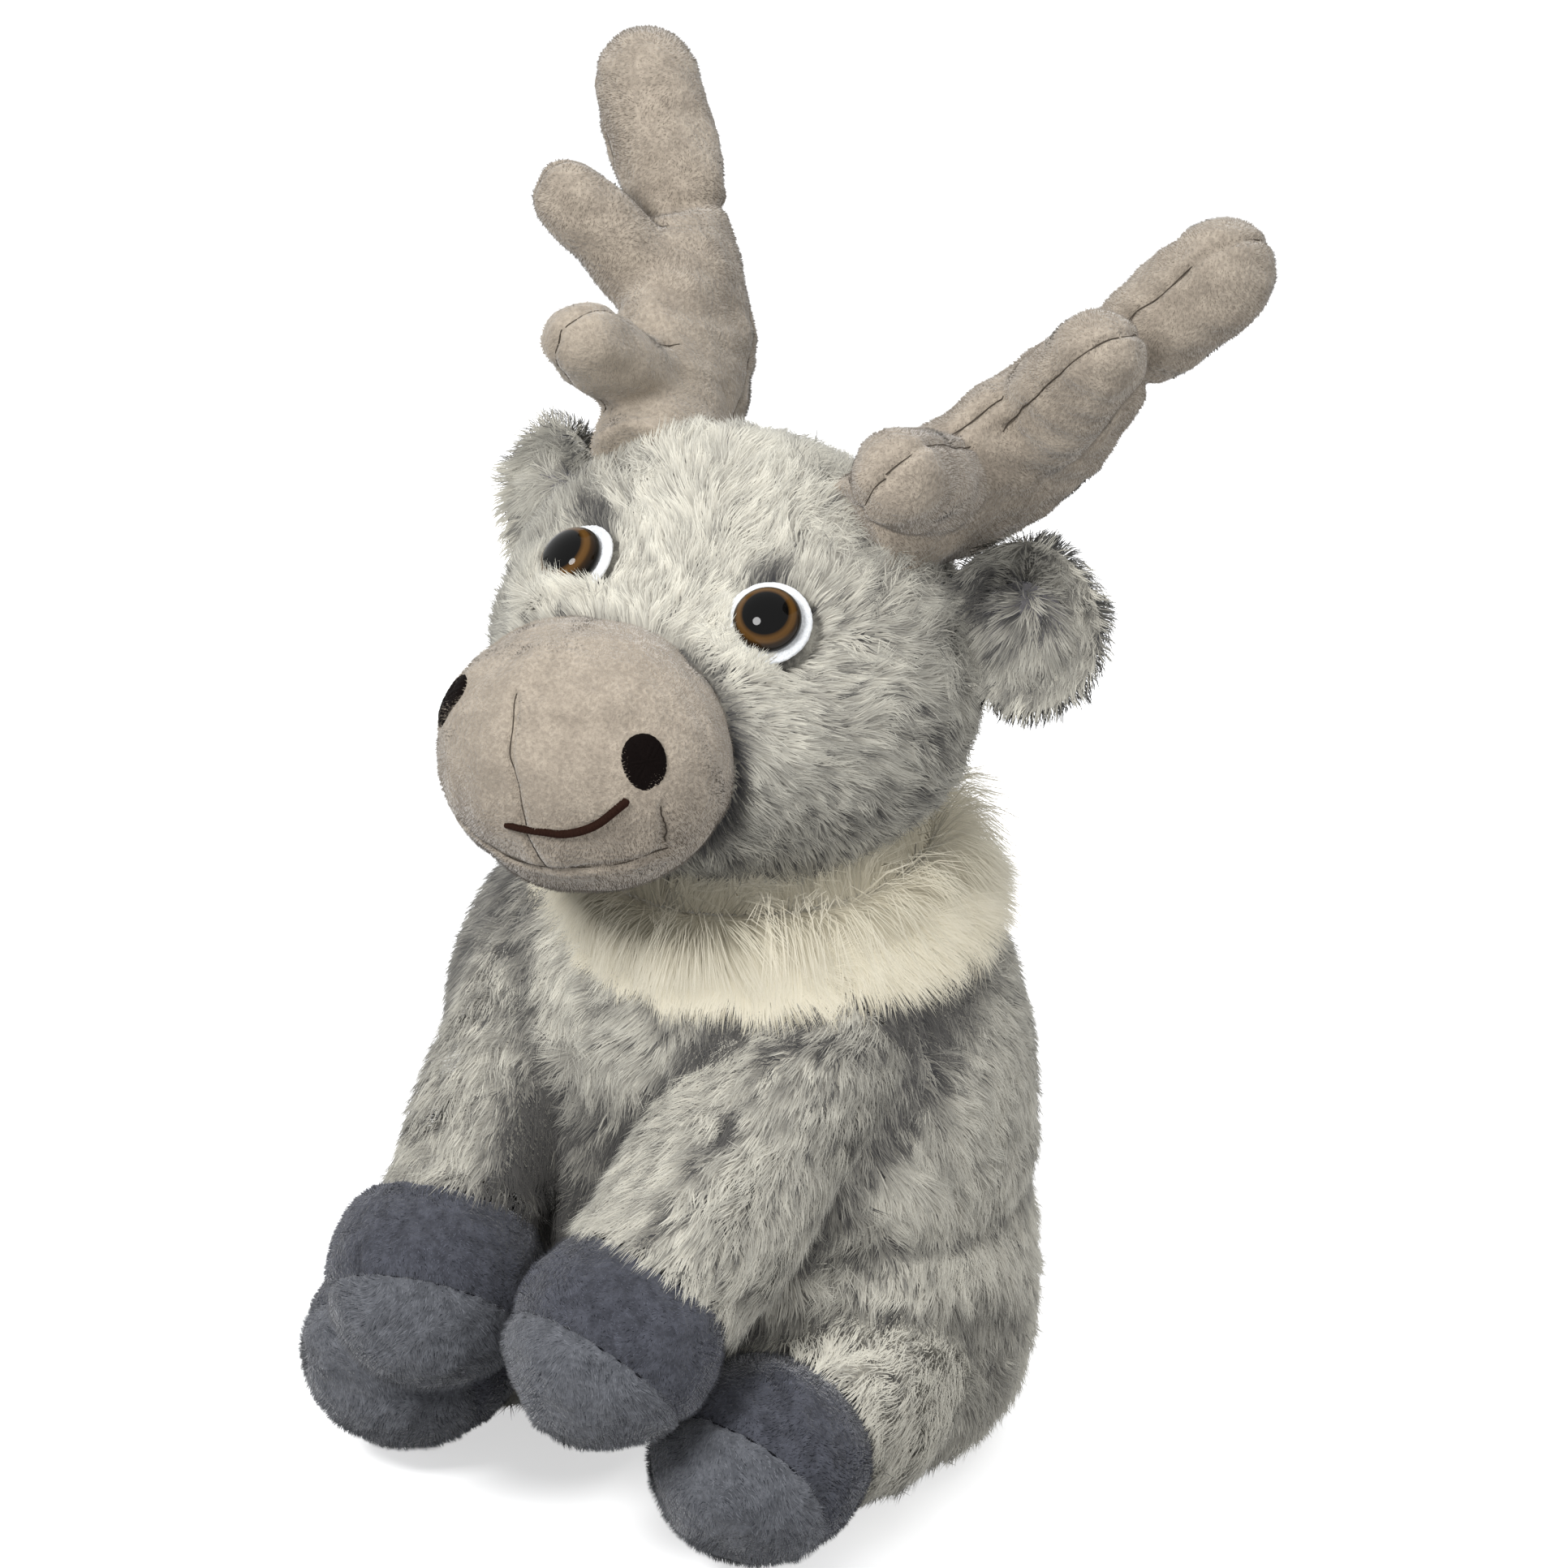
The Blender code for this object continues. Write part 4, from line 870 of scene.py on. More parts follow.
def build_head(sizes, colours):
    hide = mesh_object("head_hide", *lofted(head_rings(72, 96)))
    points = coordinates(hide)
    seats = eye_seats()
    near_eye = np.max([
        furrow(np.maximum(eye_reach(points, seat)[0] - 0.0105 * overlap(points, seat), 0), 0.008)
        * (np.abs(eye_reach(points, seat)[1]) < 0.02) * (1 + 0.38 * overlap(points, seat))
        for seat in seats], 0)
    swell(hide, -sizes.pile_depth * (1 - 0.7 * near_eye) + 0.0006 * ripple(points, 0.03, 4))
    finish_piece(hide, "head", grey_hide(colours), ["head_skin"])
    bases = [sided(ANTLER_POINTS["base"], side) for _, side in SIDES]
    brows = [seat[0] + seat[2] * 0.0110 + seat[3] * (offset + (0.001 if seat[0][0] > 0 else 0.0045))
             for seat in seats for offset in (0, 0.006)]

    def flow(p, n):
        away = unit(p - MUZZLE_CENTRE - (0, 0.012, 0))
        front = np.clip((0.030 - p[:, 1]) / 0.06, 0, 1)[:, None]
        low = np.clip((0.215 - p[:, 2]) / 0.05, 0, 1)[:, None]
        course = away * (0.35 + 0.9 * front) + DOWN * (0.25 + 0.75 * low) + 0.30 * ripples(p, 0.04, 26)
        for seat in seats:
            reach = eye_reach(p, seat)[0]
            outward = unit(p - seat[0] + seat[2] * 0.004)
            course = course + outward * 1.8 * (furrow(reach, 0.013) * (1 - 2.0 * overlap(p, seat)))[:, None]
        return course

    def paleness(p):
        """1 on the forehead and the face, 0 on the sides and the back."""
        front = np.clip((0.020 - p[:, 1]) / 0.045, 0, 1)
        middle = np.clip(1.25 - np.abs(p[:, 0]) / 0.036, 0, 1)
        high = np.clip((p[:, 2] - 0.170) / 0.03, 0, 1)
        return np.clip(front * 0.35 + middle * 0.85, 0, 1) * high

    def tone(p, n):
        shade = 0.37 + 0.43 * paleness(p) + mottle(p, 23) * (1 - 0.6 * paleness(p))
        for brow in brows:
            shade = shade - 1.10 * furrow(np.linalg.norm(p - brow, axis=1), 0.0048)
        # Painted shade where the head's pile meets the sides of the muzzle.
        beside = np.clip((np.abs(p[:, 0]) - 0.014) / 0.012, 0, 1)
        return deepened(shade - 0.90 * beside * furrow(np.maximum(muzzle_depth(p) - 1, 0), 0.06))

    def keep(p, n):
        kept = muzzle_depth(p) > 1.0
        for seat in seats:
            kept &= eye_reach(p, seat)[0] > 0.0100
        for base in bases:
            kept &= np.linalg.norm(p - base, axis=1) > 0.0135
        return kept

    def clear(roots, middles, tips):
        kept = (muzzle_depth(tips) > 1.0) & (muzzle_depth(middles) > 1.0)
        for seat in seats:
            reach, ahead = eye_reach(tips, seat)
            kept &= (reach > 0.0098 - 0.0038 * overlap(tips, seat)) | (ahead < -0.003)
        return kept

    def length(p, n):
        close = np.max([furrow(eye_reach(p, seat)[0], 0.013) * (1 - 0.6 * overlap(p, seat))
                        for seat in seats], 0)
        face = np.clip((-0.010 - p[:, 1]) / 0.03, 0, 1)
        return sizes.pile_length * (1.0 - 0.18 * face) * (1 - 0.35 * close)

    def lay(p, n):
        """Steeper where the pile has to rise over a felt's edge."""
        over = np.max([furrow(np.maximum(eye_reach(p, seat)[0] - 0.0100, 0), 0.0035) * overlap(p, seat)
                       for seat in seats], 0)
        return 63 - 20 * over

    grow("head_pile", "head", hide, flow, tone, grey_pile(colours), 12, sizes.pile_density,
         length, sizes.strand_width, lay=lay, keep=keep, clear=clear, order=1)

    def lid_keep(p, n):
        kept = np.zeros(len(p), bool)
        for seat in seats:
            reach, ahead = eye_reach(p, seat)
            kept |= (reach > 0.0092) & (reach < 0.0138) & (overlap(p, seat) > 0.2) & (np.abs(ahead) < 0.006)
        return kept

    def lid_flow(p, n):
        course = 0.35 * ripples(p, 0.007, 27)
        for seat in seats:
            course = course + unit(seat[0] - p) * furrow(eye_reach(p, seat)[0], 0.02)[:, None]
        return course

    def lid_length(p, n):
        over = np.max([overlap(p, seat) * (eye_reach(p, seat)[0] < 0.014) for seat in seats], 0)
        return np.where(p[:, 0] > 0, 0.0058, 0.0092) * (0.55 + 0.45 * over)

    def lid_clear(roots, middles, tips):
        kept = np.ones(len(roots), bool)
        for seat, limit in zip(seats, (0.0064, 0.0034)):
            kept &= eye_reach(tips, seat)[0] > limit
        return kept

    grow("lid_pile", "head", hide, lid_flow, tone, grey_pile(colours), 15,
         sizes.pile_density * 3, lid_length, sizes.strand_width, lay=43, keep=lid_keep, clear=lid_clear,
         spacing=0.0022, pull=0.2)


def build_muzzle(sizes, colours):
    muzzle = mesh_object("muzzle_cloth", *lofted(muzzle_rings(120, 160)))
    points = coordinates(muzzle)
    seams = []
    for course in MUZZLE_SEAMS:
        route = spline(course, 30)
        seams.append(muzzle_front(route[:, 0], route[:, 1]))
    depth = np.zeros(len(points))
    for seam in seams:
        depth = np.maximum(depth, furrow(line_distance(points, seam), 0.0011))
    tufting = 0.00025 * ripple(points, 0.009, 51) + 0.00045 * ripple(points, 0.024, 52)
    swell(muzzle, tufting - sizes.seam_depth * depth)
    cloth = taupe_cloth(colours)
    finish_piece(muzzle, "head", cloth, ["muzzle_skin"])
    # The nap takes painted light and shade: paler on the muzzle's top, darker down its lower half and towards
    # its +X side.
    nap("muzzle_nap", "head", muzzle, colours.taupe_pale, colours.taupe_dark, "taupe_nap", 61, sizes,
        seams=seams, contrast=0.035,
        shade=lambda p: 0.55 * np.clip((p[:, 2] - 0.196) / 0.020, -1, 0.3)
        - 0.20 * np.clip((p[:, 0] - 0.008) / 0.025, 0, 1))
    seam_shade_line("muzzle_seam_shade", "head", muzzle, [spline(seam, 60) for seam in seams], colours)


def taupe_cloth(colours):
    middle = mid_colour(colours.taupe_pale, colours.taupe_dark)
    return velour_material("taupe nap", mid_colour(colours.taupe_pale, middle), middle, 130.0)


def seam_shade_line(name, body, cloth, courses, colours, radius=0.00017, slot="taupe_nap"):
    """Fine dark thread along the seams of a cloth, where they come to its surface: painted shade in the
    seams' furrows.
    """
    surface = bvhtree.BVHTree.FromPolygons(
        coordinates(cloth).tolist(), [tuple(polygon.vertices) for polygon in cloth.data.polygons])
    parts = []
    for course in courses:
        run = []
        for point in [*course, None]:
            found = None if point is None else surface.find_nearest(Vector(point), 0.0022)
            if found is not None and found[0] is not None:
                run.append((*found[0], *found[1]))
                continue
            if len(run) > 4:
                run = np.array(run)
                for _ in range(12):
                    run[1:-1] = (run[:-2] + run[1:-1] * 2 + run[2:]) / 4
                places, out = run[:, :3], unit(run[:, 3:])
                along = unit(np.gradient(places, axis=0) + 1e-9)
                across = unit(np.cross(along, out))
                parts.append(lofted(ovals(places, across * radius, out * radius, 5)))
            run = []
    shade = tinted(colours.taupe_dark if slot == "taupe_nap" else colours.slate_dark, 0.6)
    finish_piece(merged(name, parts), body, thread_material(f"{slot.replace('_', ' ')} seam", shade))


def nap(name, body, cloth, pale, dark, slot, seed, sizes, keep=None, order=2, seams=(), contrast=0.16,
        shade=None, speckle=0.07, fluff=1.0):
    """Short velour fibres over a cloth, too fine to see singly, short along seams and darker there as painted
    shade in their furrows; shade adds the piece's painted light and shade.
    """
    def seam_share(p):
        if not len(seams):
            return np.zeros(len(p))
        return np.max([furrow(line_distance(p, seam), 0.0010) for seam in seams], 0)

    fibres = pile_material(f"{slot.replace('_', ' ')} fibres", dark, mid_colour(dark, pale), dark, pale,
                           tinted(dark, 1.1), tinted(pale, 1.08))

    def flow(p, n):
        return DOWN + 1.1 * ripples(p, 0.018, seed + 3)

    def length(p, n):
        return sizes.nap_length * fluff * (1 - 0.65 * seam_share(p))

    def tone(p, n):
        broad = 0.5 + contrast * (ripple(p, 0.024, seed + 6) + 0.5 * ripple(p, 0.007, seed + 7))
        # Painted shade along the seams, plus the piece's painted light and shade.
        return broad + (0 if shade is None else shade(p)) - 0.9 * seam_share(p)

    return grow(name, body, cloth, flow, tone, fibres, seed, sizes.nap_density, length,
                sizes.nap_width, lay=52, spacing=0.0016, pull=0.15 + 0.15 * fluff, keep=keep, order=order,
                bent=False, speckle=(speckle, speckle * 0.4))


def on_muzzle(points):
    """The points moved straight out from the muzzle's middle onto its surface."""
    return MUZZLE_CENTRE + (points - MUZZLE_CENTRE) / muzzle_depth(points)[:, None]


def stitched_patch(name, centre, half_width, half_height):
    """Satin stitched oval that lies on the muzzle, domed and ribbed."""
    outward = unit((centre - MUZZLE_CENTRE) / (MUZZLE_SIZE / 2) ** 2)
    across = unit(np.cross(outward, (0, 0, 1)))
    up = np.cross(across, outward)
    angles = np.linspace(0, 2 * math.pi, 72, endpoint=False)
    rings = []
    for size, lift in ((1.0, -0.0008), (1.0, 0.0002), (0.94, 0.0006), (0.8, 0.0008), (0.6, 0.0009),
                       (0.4, 0.00095), (0.2, 0.0010), (0.05, 0.0010)):
        ragged = 1 + (0.018 * np.sin(3 * angles + 1) + 0.007 * np.sin(23 * angles)) * (size > 0.9)
        right = half_width * size * ragged * np.cos(angles)
        high = half_height * size * ragged * np.sin(angles)
        surface = on_muzzle(centre + np.outer(right, across) + np.outer(high, up))
        ribs = 0.00016 * np.sin(2 * math.pi * high / 0.0010) * (lift > 0)
        rings.append(surface + outward * (lift + ribs)[:, None])
    return mesh_object(name, *lofted(np.array(rings)))


def thread(start, end, lift, radius, sides=6):
    """One short stitch, thin at both ends and arched in the middle."""
    rings = []
    run = unit(end - start)
    across = unit(np.cross(run, lift))
    for share, size, rise in ((0, 0.35, 0), (0.2, 0.9, 0.7), (0.5, 1, 1), (0.8, 0.9, 0.7), (1, 0.35, 0)):
        place = start + (end - start) * share + lift * radius * rise
        rings.append(ovals(place[None], across[None] * radius * size, lift[None] * radius * size, sides)[0])
    return lofted(np.array(rings))


def thread_material(name, colour, roughness=0.75):
    """Embroidery thread: a plied twist of lighter and darker fibres."""
    if name in bpy.data.materials:
        return bpy.data.materials[name]
    made, tree, shader = plain_material(name, roughness, specular=0.04)
    place = tree.nodes.new("ShaderNodeTexCoord").outputs["Object"]
    fibre = noise(tree, place, 1600.0, 2.0, 0.6)
    tree.links.new(mixed(tree, fibre, tinted(colour, 0.6), tinted(colour, 1.35)), shader.inputs["Base Color"])
    relief = tree.nodes.new("ShaderNodeBump")
    relief.inputs["Distance"].default_value = 0.0002
    tree.links.new(fibre, relief.inputs["Height"])
    tree.links.new(relief.outputs["Normal"], shader.inputs["Normal"])
    return made


def build_face_stitching(sizes, colours):
    dark = thread_material("dark thread", colours.nostril)
    for label, side in SIDES:
        points = node_points(f"nostril_{label}")
        low, high = points.min(0), points.max(0)
        centre = (low + high) / 2 + (0.0030 * (side < 0), 0, 0.0015)
        patch = stitched_patch(f"nostril_stitch_{label}", centre, 0.0057, 0.0068)
        finish_piece(patch, "head", dark, [f"nostril_{label}"])
    route = spline(SMILE, 44)
    course = muzzle_front(route[:, 0], route[:, 1])
    parts = []
    for index in range(len(course) - 3):
        lift = unit((course[index] - MUZZLE_CENTRE) / (MUZZLE_SIZE / 2) ** 2)
        run = unit(course[index + 3] - course[index])
        beside = np.cross(lift, run) * 0.0004
        heavy = 0.00072 + 0.00034 * math.sin(math.pi * min(index / 30, 1) / 2)
        parts.append(thread(course[index] - beside, course[index + 3] + beside, lift, heavy))
    finish_piece(merged("mouth_stitches", parts), "head",
                 thread_material("brown thread", colours.mouth), ["mouth_stitch"])


def turned(profile, seat, sides=96):
    """Shape turned about the axis of a seat, from radii and heights."""
    centre, facing, up, across = seat
    profile = np.asarray(profile, float)
    centres = centre + np.outer(profile[:, 1], facing)
    return lofted(ovals(centres, np.outer(profile[:, 0], across), np.outer(profile[:, 0], up), sides))


def radial_map(obj, seat, radius):
    """Map of an eye as seen from straight ahead, its middle in the middle."""
    points = coordinates(obj) - seat[0]
    flat = np.stack([points @ seat[3], points @ seat[2]], 1) / radius * 0.48 + 0.5
    layer = obj.data.uv_layers.new(name=MAP_NAME)
    corners = np.empty(len(obj.data.loops), np.int32)
    obj.data.loops.foreach_get("vertex_index", corners)
    layer.uv.foreach_set("vector", flat[corners].astype(np.float32).ravel())


def eye_material(colours):
    """Glossy moulded eye: black pupil, brown ring with a paler inner glow, dark rim."""
    if "button eye" in bpy.data.materials:
        return bpy.data.materials["button eye"]
    made, tree, shader = plain_material("button eye", 0.03, specular=0.15)
    spread = tree.nodes.new("ShaderNodeUVMap")
    spread.uv_map = MAP_NAME
    offset = tree.nodes.new("ShaderNodeVectorMath")
    offset.operation = "DISTANCE"
    offset.inputs[1].default_value = (0.5, 0.5, 0.0)
    tree.links.new(spread.outputs["UV"], offset.inputs[0])
    ramp = tree.nodes.new("ShaderNodeValToRGB")
    tree.links.new(offset.outputs["Value"], ramp.inputs["Fac"])
    black = (0.002, 0.002, 0.002, 1)
    stops = ((0.0, black), (0.315, black), (0.335, tinted(colours.iris, 0.5)),
             (0.37, tinted(colours.iris, 1.1)), (0.41, colours.iris), (0.435, tinted(colours.iris, 0.3)),
             (0.48, black))
    while len(ramp.color_ramp.elements) < len(stops):
        ramp.color_ramp.elements.new(0.5)
    for element, (place, colour) in zip(ramp.color_ramp.elements, stops):
        element.position = place
        element.color = colour
    tree.links.new(ramp.outputs["Color"], shader.inputs["Base Color"])
    return made


def build_eyes(sizes, colours):
    felt_cloth = velour_material("white felt", colours.felt, tinted(colours.felt, 0.88),
                                 300.0, 1500.0, 0.2, 0.0003)
    angles = np.radians(np.linspace(0, 88, 26))
    for label, _ in SIDES:
        seat = node_seat(f"eye_felt_{label}")
        points = node_points(f"eye_{label}") - seat[0]
        heights = points @ seat[1]
        radius = np.linalg.norm(points - heights[:, None] * seat[1], axis=1).max()
        top = heights.max()
        rim = 0.0009
        dome = [(radius * math.cos(angle), rim + 0.0011 + (top - rim - 0.0011) * math.sin(angle))
                for angle in angles]
        back = [(0.0003, heights.min()), (0.0020, heights.min()), (0.0021, rim - 0.0002),
                (radius * 0.9, rim - 0.0002), (radius * 0.985, rim + 0.0003)]
        button = mesh_object(f"button_eye_{label}", *turned(back + dome, seat))
        radial_map(button, seat, radius)
        finish_piece(button, "head", eye_material(colours), [f"eye_{label}"])
        points = node_points(f"eye_felt_{label}") - seat[0]
        wide = np.linalg.norm(points - (points @ seat[1])[:, None] * seat[1], axis=1).max()
        disc = [(0.0025, -0.0007), (wide - 0.0004, -0.0007), (wide, -0.0003), (wide, 0.0003),
                (wide - 0.0004, 0.0006), (wide * 0.6, 0.0007), (0.0025, 0.0007)]
        felt = mesh_object(f"felt_disc_{label}", *turned(disc, seat))
        swell(felt, 0.00008 * ripple(coordinates(felt), 0.0015, 71))
        finish_piece(felt, "head", felt_cloth, [f"eye_felt_{label}"])
        washer = frame["nodes"][f"eye_washer_{label}"]
        washer.data.materials.clear()
        washer.data.materials.append(moulded_material("moulded washer", (0.80, 0.80, 0.78, 1)))


def moulded_material(name, colour):
    """Plain moulded plastic with a faint grain."""
    if name in bpy.data.materials:
        return bpy.data.materials[name]
    made, tree, shader = plain_material(name, 0.45)
    place = tree.nodes.new("ShaderNodeTexCoord").outputs["Object"]
    grain = noise(tree, place, 700.0)
    tree.links.new(mixed(tree, grain, tinted(colour, 0.92), colour), shader.inputs["Base Color"])
    return made


def build_ears(sizes, colours):
    table = spline(((0.06, -0.50), (0.50, -0.42), (0.82, -0.24), (0.97, 0.00), (1.00, 0.20), (0.94, 0.36),
                    (0.82, 0.36), (0.66, 0.20), (0.46, 0.08), (0.20, 0.04), (0.04, 0.03)), 48)
    patch_cloth = velour_material("ear patch", tinted(colours.ear_patch, 1.5), colours.ear_patch, 200.0)
    for label, side in SIDES:
        centre = sided(EAR_CENTRE, side) + (0, 0, side * EAR_OFFSET)
        facing = unit(sided(EAR_FACING, side))
        across = unit(np.cross(facing, (0, 0, 1)))
        up = np.cross(across, facing)
        seat = (centre, facing, up, across)
        rings = ovals(centre + np.outer(table[:, 1] * EAR_SIZE[2], facing),
                      table[:, 0:1] * EAR_SIZE[0] / 2 * across, table[:, 0:1] * EAR_SIZE[1] / 2 * up, 72)
        hide = mesh_object(f"ear_hide_{label}", *lofted(rings))
        swell(hide, -0.0022 + 0.0005 * ripple(coordinates(hide), 0.02, 81))
        finish_piece(hide, f"ear_{label}", grey_hide(colours), [f"ear_{label}"])
        low = node_points(f"ear_lining_{label}").mean(0)
        hollow = low + across * side * 0.0100 + up * 0.0070
        disc = [(0.0006, -0.0016), (0.0095, -0.0016), (0.0105, -0.0006), (0.0102, 0.0003), (0.0074, 0.0006),
                (0.0032, 0.0005), (0.0006, 0.0004)]
        lining = mesh_object(f"ear_patch_{label}", *turned(disc, (low, facing, up, across), 48))
        swell(lining, 0.0002 * ripple(coordinates(lining), 0.004, 83))
        finish_piece(lining, f"ear_{label}", patch_cloth, [f"ear_lining_{label}"])

        def flow(p, n, seat=seat):
            away = p - seat[0] - seat[2] * 0.006
            outward = unit(away - ((away @ seat[1])[:, None]) * seat[1])
            return outward + 0.55 * DOWN + 0.4 * ripples(p, 0.012, 88)

        def tone(p, n, hollow=hollow, seat=seat):
            near = np.linalg.norm(p - hollow, axis=1)
            rim = np.clip((np.linalg.norm(p - seat[0], axis=1) - 0.0150) / 0.005, 0, 1)
            # The two ears take different tones by how each is lit: painted light and shade.
            shade = (0.30 if seat[0][0] > 0 else 0.60) + 0.28 * rim + mottle(p, 84)
            return deepened(shade - 0.60 * furrow(near, 0.0055) - 0.12 * furrow(near, 0.012))

        def length(p, n, hollow=hollow, seat=seat):
            near = furrow(np.linalg.norm(p - hollow, axis=1), 0.006)
            rim = np.clip((np.linalg.norm(p - seat[0], axis=1) - 0.0150) / 0.005, 0, 1)
            return sizes.pile_length * (0.86 - 0.40 * near - 0.16 * rim)

        grow(f"ear_pile_{label}", f"ear_{label}", hide, flow, tone, grey_pile(colours), 85,
             sizes.pile_density * 1.15, length, sizes.strand_width * 0.9, lay=52)
        grow(f"ear_patch_pile_{label}", f"ear_{label}", lining, flow, tone, grey_pile(colours),
             87, sizes.pile_density * 1.3, length, sizes.strand_width * 0.9, lay=50,
             keep=lambda p, n, facing=facing: n @ facing > 0.1)


def seam_steps(tube, side):
    """Where the two seams run round a tube: in its plane, or where the right antler's outline is."""
    if side > 0:
        return 0, tube.shape[1] // 2
    centres = tube.mean(1)
    run = unit(np.gradient(centres[:-5], axis=0))
    outline = unit(np.cross(SEAM_VIEW, run))
    lean = ((tube[:-5] - centres[:-5, None]) * outline[:, None]).sum(2).mean(0)
    return int(lean.argmax()), int(lean.argmin())


def build_antlers(sizes, colours):
    cloth = taupe_cloth(colours)
    for label, side in SIDES:
        tubes = antler_tubes(side)
        antler = merged(f"antler_cloth_{label}", [lofted(tube) for tube in tubes])
        remeshed(antler, 0.0010, 8)
        points = coordinates(antler)
        seams = [tube[:, step] for tube in tubes for step in seam_steps(tube, side)]
        depth = np.max([furrow(line_distance(points, seam), 0.0012) for seam in seams], 0)
        crease, top = (sided(ANTLER_POINTS[name], side) for name in ("crease", "top"))
        run = unit(top - crease)
        pinch = furrow((points - crease) @ run, 0.0020) * (np.linalg.norm(points - crease, axis=1) < 0.020)
        tufting = 0.0003 * ripple(points, 0.009, 91) + 0.0005 * ripple(points, 0.022, 92)
        swell(antler, tufting - sizes.seam_depth * depth - 0.0020 * pinch)
        finish_piece(antler, f"antler_{label}", cloth, [f"antler_{label}"])
        base, away = sided(ANTLER_POINTS["base"], side), unit(top - sided(ANTLER_POINTS["base"], side))
        # Painted light and shade by how each antler is lit: the -X antler's nap paler at the base and darker
        # up its tines, the +X antler's darker all over.
        lit, tine_shade = (-0.22, -0.06) if side > 0 else (0.80, 1.12)
        nap(f"antler_nap_{label}", f"antler_{label}", antler, colours.taupe_pale, colours.taupe_dark,
            "taupe_nap", 93, sizes, seams=seams, contrast=0.035,
            shade=lambda p, base=base, away=away, lit=lit, tine_shade=tine_shade:
            lit - tine_shade * np.clip((p - base) @ away / 0.045, 0, 1))
        seam_shade_line(f"antler_seam_shade_{label}", f"antler_{label}", antler,
                    [spline(seam, 140) for seam in seams], colours)


def hoof_grid(limb, side, first, last, rows, sides):
    """Part of a hoof between two shares of its length, each the same for every angle or not."""
    root, along, across, up, length = limb_frame(limb, side)
    table = spline(HOOF_PROFILE, 400)
    first, last = (np.broadcast_to(share, sides) for share in (first, last))
    shares = first + (last - first) * np.linspace(0, 1, rows)[:, None]
    size = np.interp(shares, table[:, 0], table[:, 1])[:, :, None]
    angles = np.linspace(0, 2 * math.pi, sides, endpoint=False)[None, :, None]
    place = root + (length - HOOF_LENGTH + shares[:, :, None] * HOOF_LENGTH) * along
    return (place + across * np.cos(angles) * size * HOOF_WIDTH / 2
            + up * np.sin(angles) * size * HOOF_HEIGHT / 2)


def build_hoof(kind, limb, label, side, sizes, colours):
    """Dark upper and paler sole, sewn to each other along a furrow."""
    sides = 96
    angles = np.linspace(0, 2 * math.pi, sides, endpoint=False)
    seam = HOOF_SEAM_SHARE + 0.03 * np.cos(angles + 0.6 * side)
    if kind == "leg":
        seam = HOOF_SEAM_SHARE + 0.16 * np.sin(angles) - 0.05 * side * np.cos(angles)
    body = f"{kind}_{label}"
    for part, first, last, pale, dark, slot in (
            ("hoof", 0.0, seam, colours.slate_pale, colours.slate_dark, "slate_nap"),
            ("sole", seam, 0.995, colours.sole_pale, colours.sole_dark, "sole_nap")):
        grid = hoof_grid(limb, side, first, last, 44, sides)
        edge = hoof_grid(limb, side, seam, seam, 1, sides)[0]
        piece = mesh_object(f"{kind}_{part}_cloth_{label}", *lofted(grid))
        points = coordinates(piece)
        line = np.vstack([edge, edge[:1]])
        near = line_distance(points, line)
        pucker = 1 + 0.25 * ripple(points, 0.003, 101)
        tufting = 0.0003 * ripple(points, 0.008, 102) + 0.0004 * ripple(points, 0.02, 103)
        swell(piece, tufting * (1 - furrow(near, 0.003)))
        inward = grid.reshape(-1, 3).mean(0) - points
        furrowed = sizes.seam_depth * 0.8 * pucker * furrow(near, 0.0018)
        axis = limb_frame(limb, side)[1]
        inward = unit(inward - (inward @ axis)[:, None] * axis)
        reshape(piece, coordinates(piece) + inward * furrowed[:, None])
        middle_tone = mid_colour(pale, dark)
        cloth = velour_material(slot.replace("_", " "), middle_tone, mid_colour(middle_tone, dark), 260.0)
        finish_piece(piece, body, cloth, [f"{kind}_{part}_{label}"])
        middle = grid.reshape(-1, 3).mean(0)
        # Painted light and shade by how each is lit: the fore hooves' uppers a little paler, the hind hooves'
        # uppers darker.
        lit = {"arm": 0.06, "leg": -0.28}[kind] if part == "hoof" else 0.0
        cap = -1 if part == "hoof" else 1
        nap(f"{kind}_{part}_nap_{label}", body, piece, pale, dark, slot, 104, sizes, contrast=0.05,
            speckle=0.34, fluff=1.3 if part == "hoof" else 1.9, shade=lambda p, lit=lit: lit,
            keep=lambda p, n, axis=axis, cap=cap, middle=middle:
            (n @ axis * cap > -0.97) | (np.linalg.norm(p - middle, axis=1) > 0.024))
    seam_shade_line(f"{kind}_hoof_seam_{label}", body, piece, [np.vstack([line, line[:4]])], colours,
                radius=0.00028, slot="slate_nap")


